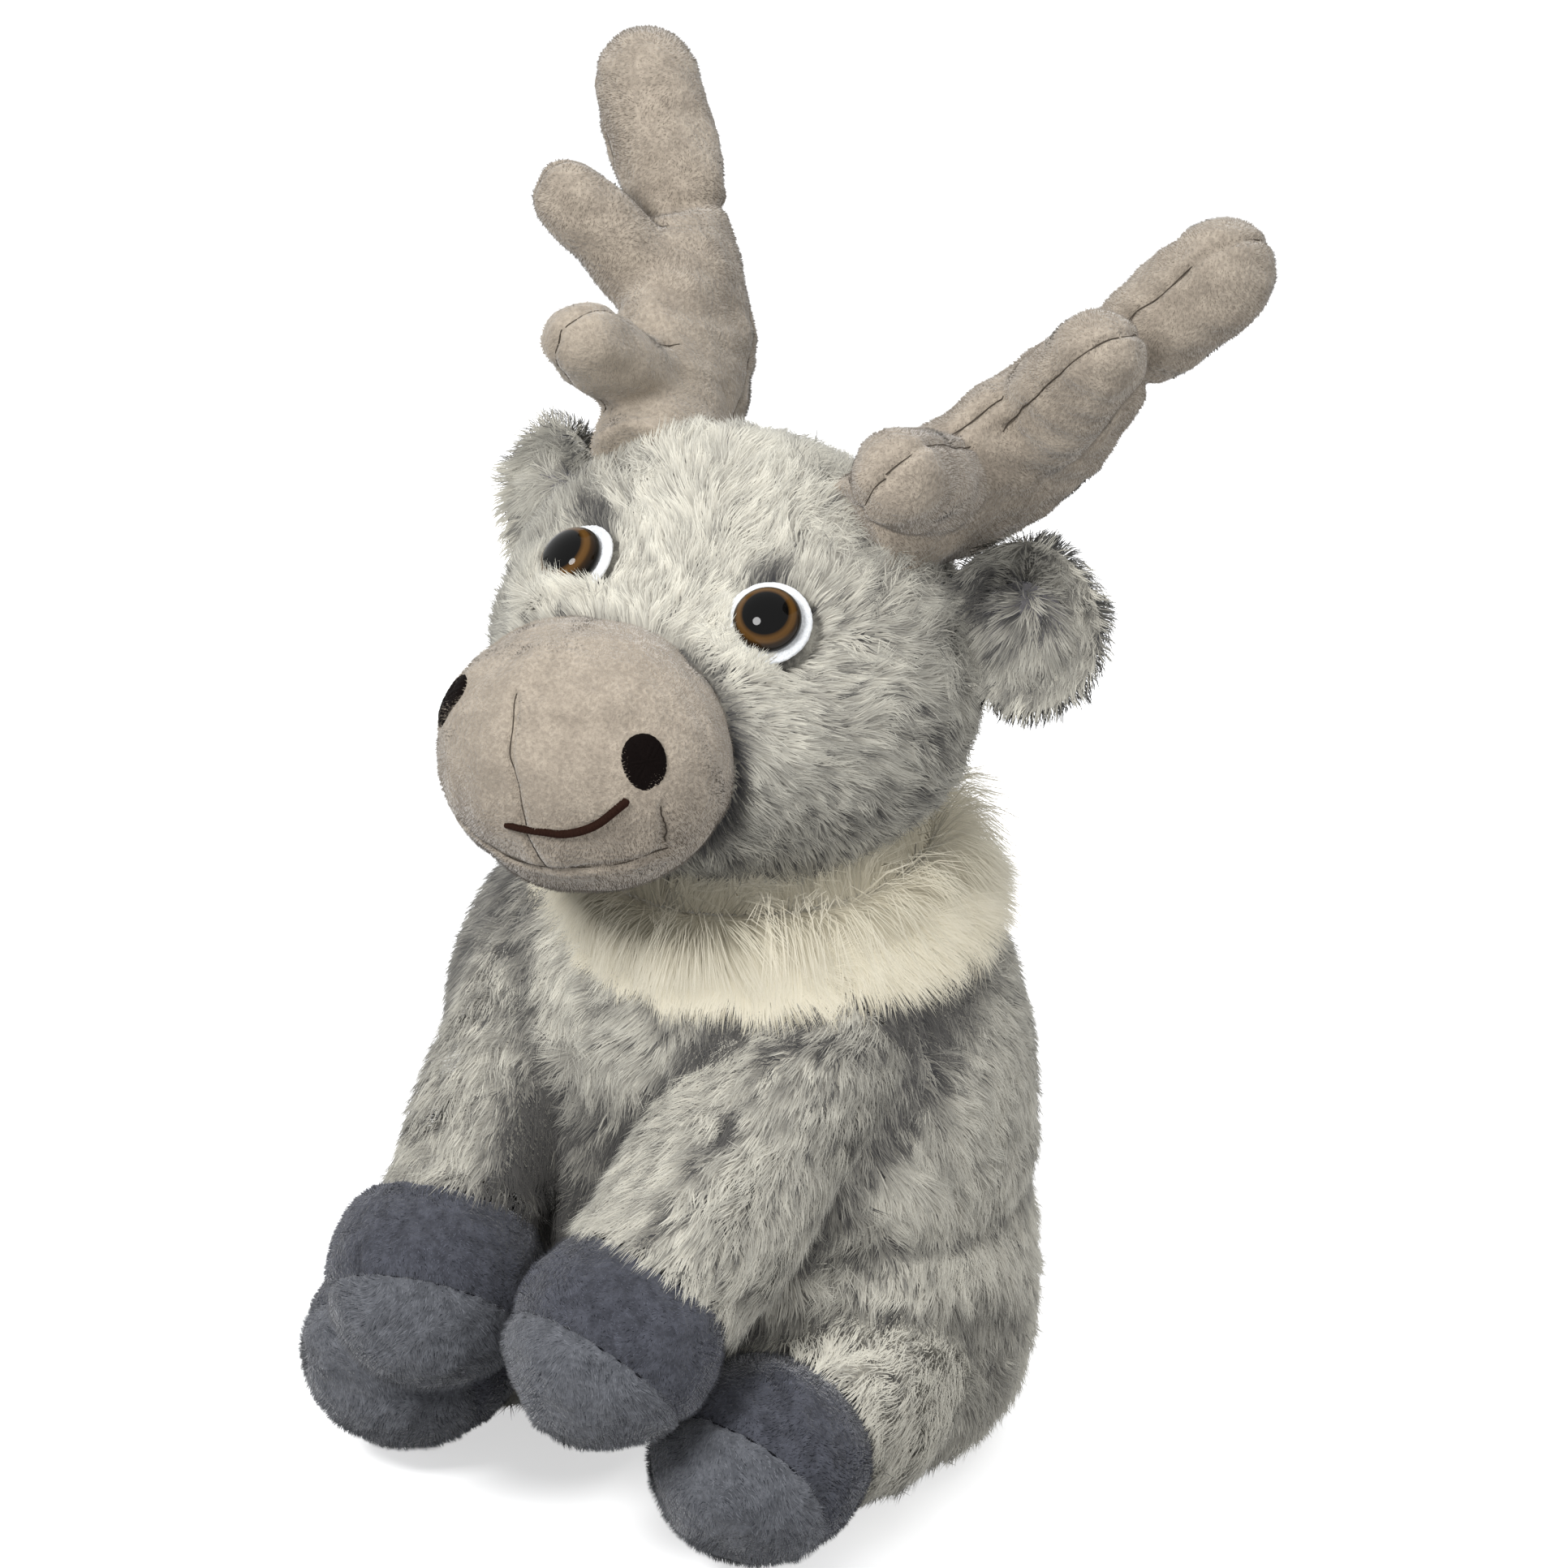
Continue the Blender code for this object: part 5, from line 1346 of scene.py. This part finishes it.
def build_limbs(kind, limb, sizes, colours):
    for label, side in SIDES:
        body = f"{kind}_{label}"
        far = kind == "arm" and side < 0
        rings = limb_rings(limb, side, 48, 72)
        hide = mesh_object(f"{kind}_hide_{label}", *lofted(rings))
        swell(hide, -sizes.pile_depth - 0.0025 * far + 0.0008 * ripple(coordinates(hide), 0.03, 111))
        if far:
            points = coordinates(hide)
            points[:, 0] += 0.0065 * np.clip((points[:, 2] - 0.050) / 0.06, 0, 1)
            reshape(hide, points)
        finish_piece(hide, body, grey_hide(colours), [f"{kind}_{label}"])
        root, along, across, up, length = limb_frame(limb, side)
        beside = [limb_frame(other, turn) + (other["width"],) for other, turn in ((ARM, 1), (ARM, -1))
                  if other is not limb or turn != side]

        def contact_shade(p, beside=beside):
            """1 where a fore leg lies on this one or beside it, where the pile gets painted shade."""
            return np.max([furrow(np.maximum(line_distance(
                p, [start, start + run * reach]) - wide / 2, 0), 0.0050)
                for start, run, _, _, reach, wide in beside], 0)

        aside = unit(up - 0.47 * side * across)
        seam = root + np.outer(np.linspace(0.1, 1, 12) * (length - HOOF_LENGTH), along)
        seam = seam + aside * (limb["width"] / 2 - 0.004)
        reach = (seam[-1] - root) @ along

        def flow(p, n, along=along, seam=seam, across=across):
            beside = ((p - seam[0]) @ across)[:, None] * across / 0.01
            split = furrow(line_distance(p, seam), 0.007)[:, None] * (kind == "arm")
            return along + 0.35 * DOWN + 0.9 * split * np.clip(beside, -1, 1)

        def tone(p, n, seam=seam, along=along, contact_shade=contact_shade):
            # The far fore leg takes a lower tone than the near one: painted shade.
            shade = (0.92 if kind == "leg" else 0.50 if far else 0.66) + mottle(p, 114 + side)
            # Painted shade on the far fore leg's side that faces the near one.
            if far:
                inner = 0.85 * np.clip(n[:, 0] * 1.6 - 0.25, 0, 1)
                shade = shade - inner * np.clip((p[:, 2] - 0.050) / 0.03, 0, 1)
            if kind == "arm":
                # Painted shade at the top of each fore leg, under the ruff, deeper on the near one.
                shade = shade - (0.12 if far else 0.36) * np.clip(1 - ((p - seam[0]) @ along) / 0.035, 0, 1)
                # Painted shade along the seam, where the pile parts, broken into flecks.
                broken = np.clip(0.45 + 0.9 * ripple(p, 0.0065, 119), 0, 1)
                shade = shade - 0.95 * furrow(line_distance(p, seam), 0.0034) * broken
            # Painted shade where a fore leg lies on this limb or beside it.
            return deepened(shade - 0.80 * contact_shade(p))

        def length_at(p, n, root=root, along=along, reach=reach):
            share = np.clip((p - root) @ along / reach, 0, 1)
            return sizes.pile_length * (0.95 + 0.25 * furrow(1 - share, 0.18))

        grow(f"{kind}_pile_{label}", body, hide, flow, tone, grey_pile(colours),
             116 + (side > 0), sizes.pile_density, length_at, sizes.strand_width,
             keep=lambda p, n, along=along: (torso_depth(p) > 0.9) & (n @ along > -0.8) & (p[:, 2] > 0.0012)
             | (torso_depth(p) > 1.3), order=1)
        build_hoof(kind, limb, label, side, sizes, colours)


def build_arms(sizes, colours):
    build_limbs("arm", ARM, sizes, colours)


def build_legs(sizes, colours):
    build_limbs("leg", LEG, sizes, colours)


def build_tail(sizes, colours):
    run = TAIL_TIP - TAIL_ROOT
    along = unit(run)
    up = unit(np.cross((1, 0, 0), along))
    table = spline(((0.0, 0.75), (0.3, 1.0), (0.6, 0.92), (0.85, 0.55), (0.97, 0.15)), 30)
    centres = TAIL_ROOT + np.outer(table[:, 0], run)
    rings = ovals(centres, np.outer(table[:, 1] * 0.013, (1, 0, 0)), np.outer(table[:, 1] * 0.007, up), 48)
    hide = mesh_object("tail_hide", *lofted(rings))
    swell(hide, -0.0025)
    finish_piece(hide, "tail", grey_hide(colours), ["tail"])
    grow("tail_pile", "tail", hide, lambda p, n: along,
         lambda p, n: deepened(0.75 + 0.2 * ripple(p, 0.01, 121)), grey_pile(colours), 122,
         sizes.pile_density, lambda p, n: np.full(len(p), sizes.pile_length), sizes.strand_width, lay=45)


def wad_inset(node):
    """How far a wad lies inside the solid of its filling, which the hide over it may leave."""
    if "arm" in node or "leg" in node:
        return 0.0003
    if node in ("pellet_bag", "neck_stuffing") or "antler" in node or "muzzle" in node:
        return 0.0012
    return 0.0062


def build_filling(sizes, colours):
    """Wadding and the bag of pellets, which the cloth hides."""
    wadding = velour_material("fibre fill", (0.88, 0.88, 0.86, 1), (0.74, 0.74, 0.72, 1),
                              150.0, 1200.0, 0.3, 0.0008)
    bag = velour_material("bag cloth", (0.70, 0.66, 0.60, 1), (0.60, 0.56, 0.50, 1),
                          90.0, 1500.0, 0.3, 0.0003)
    bodies = {node: body for body, nodes in body_nodes().items() for node in nodes}
    for node, body in bodies.items():
        if "stuffing" not in node and node != "pellet_bag":
            continue
        soft = mesh_object(f"{node}_wad", *cad_surface(node))
        apply_modifier(soft, "REMESH", mode="VOXEL", voxel_size=0.0035, adaptivity=0.0)
        apply_modifier(soft, "SMOOTH", factor=0.5, iterations=6)
        for kind, limb in (("arm", ARM), ("leg", LEG)):
            if node.startswith(f"{kind}_"):
                side = 1 if node.endswith("left") else -1
                reshape(soft, inside_limb(coordinates(soft), limb, side, 0.0105))
        if node in ("body_stuffing", "pellet_bag"):
            reshape(soft, inside_torso(coordinates(soft)))
        swell(soft, -wad_inset(node) + 0.0009 * ripple(coordinates(soft), 0.014, 131))
        slot, material = ("bag_cloth", bag) if node == "pellet_bag" else ("fibre_fill", wadding)
        finish_piece(soft, body, material, [node])


def inside_torso(points):
    """The points drawn in from the torso's hide, most of all at its cut away foot."""
    share = np.where(points[:, 2] < 0.014, 0.70, 0.90)
    points[:, :2] *= np.minimum(1, share / np.maximum(torso_depth(points), 1e-9))[:, None]
    points[:, 2] = np.maximum(points[:, 2], 0.004)
    return points


def inside_limb(points, limb, side, inset):
    """The points drawn in to a limb's own form, and away from its shoulder or hip."""
    root, along, _, _, length = limb_frame(limb, side)
    table = spline(limb["profile"], 60)
    share = np.clip((points - root) @ along / length, 0.07, 1)
    axis = root + np.outer(share * length, along)
    radius = np.interp(share, table[:, 0], table[:, 1]) * limb["width"] / 2 - inset
    away = points - axis
    reach = np.linalg.norm(away, axis=1)
    return axis + away * np.minimum(1, radius / np.maximum(reach, 1e-9))[:, None]


def body_nodes():
    return frame["record"]["behaviour"]["bodies"]


def cad_surface(node):
    mesh = frame["nodes"][node].data
    return coordinates(frame["nodes"][node]), [tuple(polygon.vertices) for polygon in mesh.polygons]


# Stage

def build_stage(stage):
    world = bpy.context.scene.world or bpy.data.worlds.new("soft light")
    bpy.context.scene.world = world
    world.use_nodes = True
    background = next(node for node in world.node_tree.nodes if node.type == "BACKGROUND")
    tree = world.node_tree
    seen = seen_directly(tree)[1]
    tree.links.new(mixed(tree, seen, (0.95, 0.97, 1.0, 1), (1, 1, 1, 1)), background.inputs["Color"])
    tree.links.new(ranged(tree, seen, 0, 1, stage.sky_strength, 1.0), background.inputs["Strength"])
    bpy.context.scene.view_settings.view_transform = "Standard"
    build_floor(stage)
    build_lights(stage)
    build_camera(stage)


def seen_directly(tree):
    """1 for the rays that show a background: those of the camera, and mirrored or refracted ones."""
    rays = tree.nodes.new("ShaderNodeLightPath")
    seen = rays.outputs["Is Camera Ray"]
    for label in ("Is Glossy Ray", "Is Transmission Ray"):
        either = tree.nodes.new("ShaderNodeMath")
        either.operation = "MAXIMUM"
        tree.links.new(seen, either.inputs[0])
        tree.links.new(rays.outputs[label], either.inputs[1])
        seen = either.outputs["Value"]
    return rays, seen


def build_floor(stage):
    """Flat pale floor, white to the camera and darker only in the shadow."""
    half = stage.floor_size / 2
    corners = [(-half, -half, 0), (half, -half, 0), (half, half, 0), (-half, half, 0)]
    floor = mesh_object("floor", corners, [(0, 1, 2, 3)])
    made, tree, shader = plain_material("pale floor", 0.6)
    place = tree.nodes.new("ShaderNodeTexCoord").outputs["Object"]
    grain = noise(tree, place, 3.0)
    paint = mixed(tree, grain, (0.86, 0.86, 0.86, 1), (0.89, 0.89, 0.89, 1))
    rays, seen = seen_directly(tree)
    tree.links.new(mixed(tree, rays.outputs["Is Diffuse Ray"], paint, (0.38, 0.38, 0.38, 1)),
                   shader.inputs["Base Color"])
    output = next(node for node in tree.nodes if node.type == "OUTPUT_MATERIAL")
    glow = tree.nodes.new("ShaderNodeEmission")
    glow.inputs["Color"].default_value = (1, 1, 1, 1)
    glow.inputs["Strength"].default_value = stage.floor_glow
    only = tree.nodes.new("ShaderNodeMixShader")
    both = tree.nodes.new("ShaderNodeAddShader")
    tree.links.new(shader.outputs["BSDF"], both.inputs[0])
    tree.links.new(glow.outputs["Emission"], both.inputs[1])
    tree.links.new(seen, only.inputs["Fac"])
    tree.links.new(shader.outputs["BSDF"], only.inputs[1])
    tree.links.new(both.outputs["Shader"], only.inputs[2])
    tree.links.new(only.outputs["Shader"], output.inputs["Surface"])
    floor.data.materials.append(made)


def build_lights(stage):
    """Round soft lamps: a key at the photo's upper left, a fill at its right, and one above."""
    turn = math.radians(stage.azimuth)
    right = np.array((math.cos(turn), math.sin(turn), 0))
    toward = np.array((math.sin(turn), -math.cos(turn), 0))
    target = np.array((0, 0, 0.14))
    for name, across, near, high, size, power in (
            ("key lamp", -0.75, 0.80, 1.25, 0.48, stage.key_power),
            ("fill lamp", 1.1, 0.9, 0.5, 1.2, stage.fill_power),
            ("top lamp", 0.15, -0.35, 1.5, 1.1, stage.top_power)):
        lamp = bpy.data.lights.new(name, "AREA")
        lamp.shape = "DISK"
        lamp.size = size
        lamp.energy = power
        shown = bpy.data.objects.new(name, lamp)
        shown.visible_glossy = name == "key lamp"
        shown.visible_camera = False
        bpy.context.scene.collection.objects.link(shown)
        place = across * right + near * toward + np.array((0, 0, high))
        shown.location = place
        shown.rotation_euler = Vector(target - place).to_track_quat("-Z", "Y").to_euler()


def build_camera(stage):
    turn, rise = math.radians(stage.azimuth), math.radians(stage.elevation)
    right = np.array((math.cos(turn), math.sin(turn), 0))
    away = np.array((math.sin(turn) * math.cos(rise), -math.cos(turn) * math.cos(rise), math.sin(rise)))
    up = np.cross(away, right)
    target = right * stage.aim_across + up * stage.aim_up + away * stage.aim_depth
    camera = bpy.data.objects.new("camera", bpy.data.cameras.new("camera"))
    bpy.context.scene.collection.objects.link(camera)
    camera.data.lens = stage.lens
    camera.data.sensor_width = 36
    camera.data.clip_start = 0.05
    camera.location = target + away * stage.distance
    camera.rotation_euler = Vector(-away).to_track_quat("-Z", "Y").to_euler()
    bpy.context.scene.camera = camera


# Settings

def length_setting(name, description, default):
    return bpy.props.FloatProperty(name=name, description=description, default=default, min=0, unit="LENGTH",
                                   subtype="DISTANCE", precision=5)


def number_setting(name, description, default):
    return bpy.props.FloatProperty(name=name, description=description, default=default)


def colour_setting(name, description, default):
    """Colour given in sRGB shares, kept as Blender's own linear colour."""
    linear = tuple(share / 12.92 if share <= 0.04045 else ((share + 0.055) / 1.055) ** 2.4
                   for share in (value / 255 for value in default)) + (1.0,)
    return bpy.props.FloatVectorProperty(name=name, description=description, default=linear, size=4,
                                         subtype="COLOR", min=0, max=1)


class DeerSizes(bpy.types.PropertyGroup):
    pile_depth: length_setting("Pile depth", "From the outside of the pile in to its woven backing", 0.0040)
    pile_length: length_setting("Pile length", "Length of the body's pile", 0.0078)
    pile_density: number_setting("Pile density", "Strands for each square metre of backing", 2400000)
    strand_width: length_setting("Strand width", "Width of one clump of pile at its root", 0.00034)
    ruff_length: length_setting("Ruff length", "Length of the ruff's pile", 0.020)
    seam_depth: length_setting("Seam depth", "How far a seam pulls the nap in", 0.0011)
    nap_length: length_setting("Nap length", "Length of the velour's fibres", 0.0010)
    nap_width: length_setting("Nap width", "Width of the velour's fibres", 0.00022)
    nap_density: number_setting("Nap density", "Fibres for each square metre of velour", 2600000)


class DeerColours(bpy.types.PropertyGroup):
    pile_root: colour_setting("Pile root", "Dark under wool of the grey pile", (58, 58, 62))
    dark_shaft: colour_setting("Dark shaft", "Pile where its tone is dark", (70, 69, 68))
    pale_shaft: colour_setting("Pale shaft", "Pile where its tone is pale", (192, 188, 176))
    dark_tip: colour_setting("Dark tip", "Tips where the tone is dark", (88, 86, 84))
    pale_tip: colour_setting("Pale tip", "Tips where the tone is pale", (220, 217, 204))
    cream_root: colour_setting("Cream root", "Under wool of the ruff", (176, 168, 147))
    cream_shaft: colour_setting("Cream shaft", "Shafts of the ruff", (200, 193, 173))
    cream_tip: colour_setting("Cream tip", "Tips of the ruff", (222, 216, 198))
    # The taupe and slate pairs' darker colours are also where the painted shade on the muzzle, the antlers
    # and the hooves' uppers draws to.
    taupe_pale: colour_setting("Taupe, brushed up", "Velour of muzzle and antlers, up", (182, 170, 154))
    taupe_dark: colour_setting("Taupe, brushed down", "The same velour, brushed down", (98, 89, 79))
    slate_pale: colour_setting("Slate, brushed up", "Velour of the hooves' uppers", (102, 104, 114))
    slate_dark: colour_setting("Slate, brushed down", "The same velour, brushed down", (24, 25, 30))
    sole_pale: colour_setting("Sole, brushed up", "Velour of the hooves' soles", (130, 132, 138))
    sole_dark: colour_setting("Sole, brushed down", "The same velour, brushed down", (50, 52, 57))
    felt: colour_setting("Felt", "Felt discs under the eyes", (226, 228, 230))
    iris: colour_setting("Iris", "Brown ring of the eyes", (84, 58, 26))
    ear_patch: colour_setting("Ear patch", "Dark pile in the ears", (96, 94, 96))
    nostril: colour_setting("Nostril", "Thread of the nostrils", (14, 9, 8))
    mouth: colour_setting("Mouth", "Thread of the mouth", (40, 24, 18))


class DeerStage(bpy.types.PropertyGroup):
    azimuth: number_setting("Azimuth", "Degrees from the front to the camera, to the left", 35.0)
    elevation: number_setting("Elevation", "Degrees that the camera looks down", 27.0)
    lens: number_setting("Lens", "Focal length in millimetres", 600.0)
    distance: length_setting("Distance", "From the camera to the plane it aims at", 6.12)
    aim_across: number_setting("Aim across", "Metres to the camera's right of the object's middle", 0.01054)
    aim_up: number_setting("Aim up", "Metres along the camera's up axis", 0.1446)
    aim_depth: number_setting("Aim depth", "Metres towards the camera", 0.02)
    sky_strength: number_setting("Sky strength", "Brightness of the soft light all round", 0.51)
    floor_size: length_setting("Floor size", "Width of the flat floor", 8.0)
    floor_glow: number_setting("Floor glow", "Light added to the floor as the camera sees it", 0.58)
    key_power: number_setting("Key power", "Watts of the key lamp", 20.0)
    fill_power: number_setting("Fill power", "Watts of the fill lamp", 7.4)
    top_power: number_setting("Top power", "Watts of the top lamp", 8.3)


# Operators

class DeerStep:
    """What each step of the toy shares: it runs its builders with the scene's settings."""
    bl_options = {"REGISTER", "UNDO"}
    builders = ()

    def execute(self, context):
        before = set(bpy.data.objects)
        for build in self.builders:
            build(context.scene.deer_sizes, context.scene.deer_colours)
        if set(bpy.data.objects) == before:
            raise RuntimeError(f"{self.bl_label} made no piece")
        return {"FINISHED"}


class DEER_OT_torso(DeerStep, bpy.types.Operator):
    """Build the torso's hide and its pile"""
    bl_idname = "deer.torso"
    bl_label = "Torso"
    builders = (build_torso,)


class DEER_OT_ruff(DeerStep, bpy.types.Operator):
    """Build the cream ruff round the shoulders"""
    bl_idname = "deer.ruff"
    bl_label = "Ruff"
    builders = (build_ruff,)


class DEER_OT_head(DeerStep, bpy.types.Operator):
    """Build the head's hide and its pile"""
    bl_idname = "deer.head"
    bl_label = "Head"
    builders = (build_head,)


class DEER_OT_muzzle(DeerStep, bpy.types.Operator):
    """Build the muzzle with its seams, nostrils and mouth"""
    bl_idname = "deer.muzzle"
    bl_label = "Muzzle"
    builders = (build_muzzle, build_face_stitching)


class DEER_OT_eyes(DeerStep, bpy.types.Operator):
    """Build the eyes, their felt discs and the washers' finish"""
    bl_idname = "deer.eyes"
    bl_label = "Eyes"
    builders = (build_eyes,)


class DEER_OT_ears(DeerStep, bpy.types.Operator):
    """Build the ears with their dark patches"""
    bl_idname = "deer.ears"
    bl_label = "Ears"
    builders = (build_ears,)


class DEER_OT_antlers(DeerStep, bpy.types.Operator):
    """Build the velour antlers"""
    bl_idname = "deer.antlers"
    bl_label = "Antlers"
    builders = (build_antlers,)


class DEER_OT_arms(DeerStep, bpy.types.Operator):
    """Build the fore legs and their hooves"""
    bl_idname = "deer.arms"
    bl_label = "Fore legs"
    builders = (build_arms,)


class DEER_OT_legs(DeerStep, bpy.types.Operator):
    """Build the hind legs and their hooves"""
    bl_idname = "deer.legs"
    bl_label = "Hind legs"
    builders = (build_legs,)


class DEER_OT_tail(DeerStep, bpy.types.Operator):
    """Build the tail"""
    bl_idname = "deer.tail"
    bl_label = "Tail"
    builders = (build_tail,)


class DEER_OT_filling(DeerStep, bpy.types.Operator):
    """Build the wadding and the pellet bag inside"""
    bl_idname = "deer.filling"
    bl_label = "Filling"
    builders = (build_filling,)


class DEER_OT_stage(bpy.types.Operator):
    """Set the floor, the lamps and the camera of the photo"""
    bl_idname = "deer.stage"
    bl_label = "Stage"
    bl_options = {"REGISTER", "UNDO"}

    def execute(self, context):
        build_stage(context.scene.deer_stage)
        if context.scene.camera is None:
            raise RuntimeError("The stage has no camera")
        return {"FINISHED"}


OPERATORS = (DEER_OT_torso, DEER_OT_ruff, DEER_OT_head, DEER_OT_muzzle, DEER_OT_eyes, DEER_OT_ears,
             DEER_OT_antlers, DEER_OT_arms, DEER_OT_legs, DEER_OT_tail, DEER_OT_filling, DEER_OT_stage)


class DEER_PT_panel(bpy.types.Panel):
    """Settings and steps of the plush deer"""
    bl_label = "Plush Deer"
    bl_idname = "DEER_PT_panel"
    bl_space_type = "VIEW_3D"
    bl_region_type = "UI"
    bl_category = "Plush Deer"

    def draw(self, context):
        layout = self.layout
        for title, group in (("Sizes", context.scene.deer_sizes), ("Colours", context.scene.deer_colours),
                             ("Stage", context.scene.deer_stage)):
            box = layout.box()
            box.label(text=title)
            for key in group.bl_rna.properties.keys():
                if key not in ("rna_type", "name"):
                    box.prop(group, key)
        column = layout.column(align=True)
        for operator in OPERATORS:
            column.operator(operator.bl_idname)


CLASSES = (DeerSizes, DeerColours, DeerStage) + OPERATORS + (DEER_PT_panel,)


def register():
    for made in CLASSES:
        bpy.utils.register_class(made)
    bpy.types.Scene.deer_sizes = bpy.props.PointerProperty(type=DeerSizes)
    bpy.types.Scene.deer_colours = bpy.props.PointerProperty(type=DeerColours)
    bpy.types.Scene.deer_stage = bpy.props.PointerProperty(type=DeerStage)


def unregister():
    del bpy.types.Scene.deer_stage, bpy.types.Scene.deer_colours, bpy.types.Scene.deer_sizes
    for made in reversed(CLASSES):
        bpy.utils.unregister_class(made)


def main():
    register()
    for operator in OPERATORS:
        group, step = operator.bl_idname.split(".")
        if getattr(getattr(bpy.ops, group), step)() != {"FINISHED"}:
            raise RuntimeError(f"{operator.bl_label} did not finish")


if __name__ == "__main__":
    main()
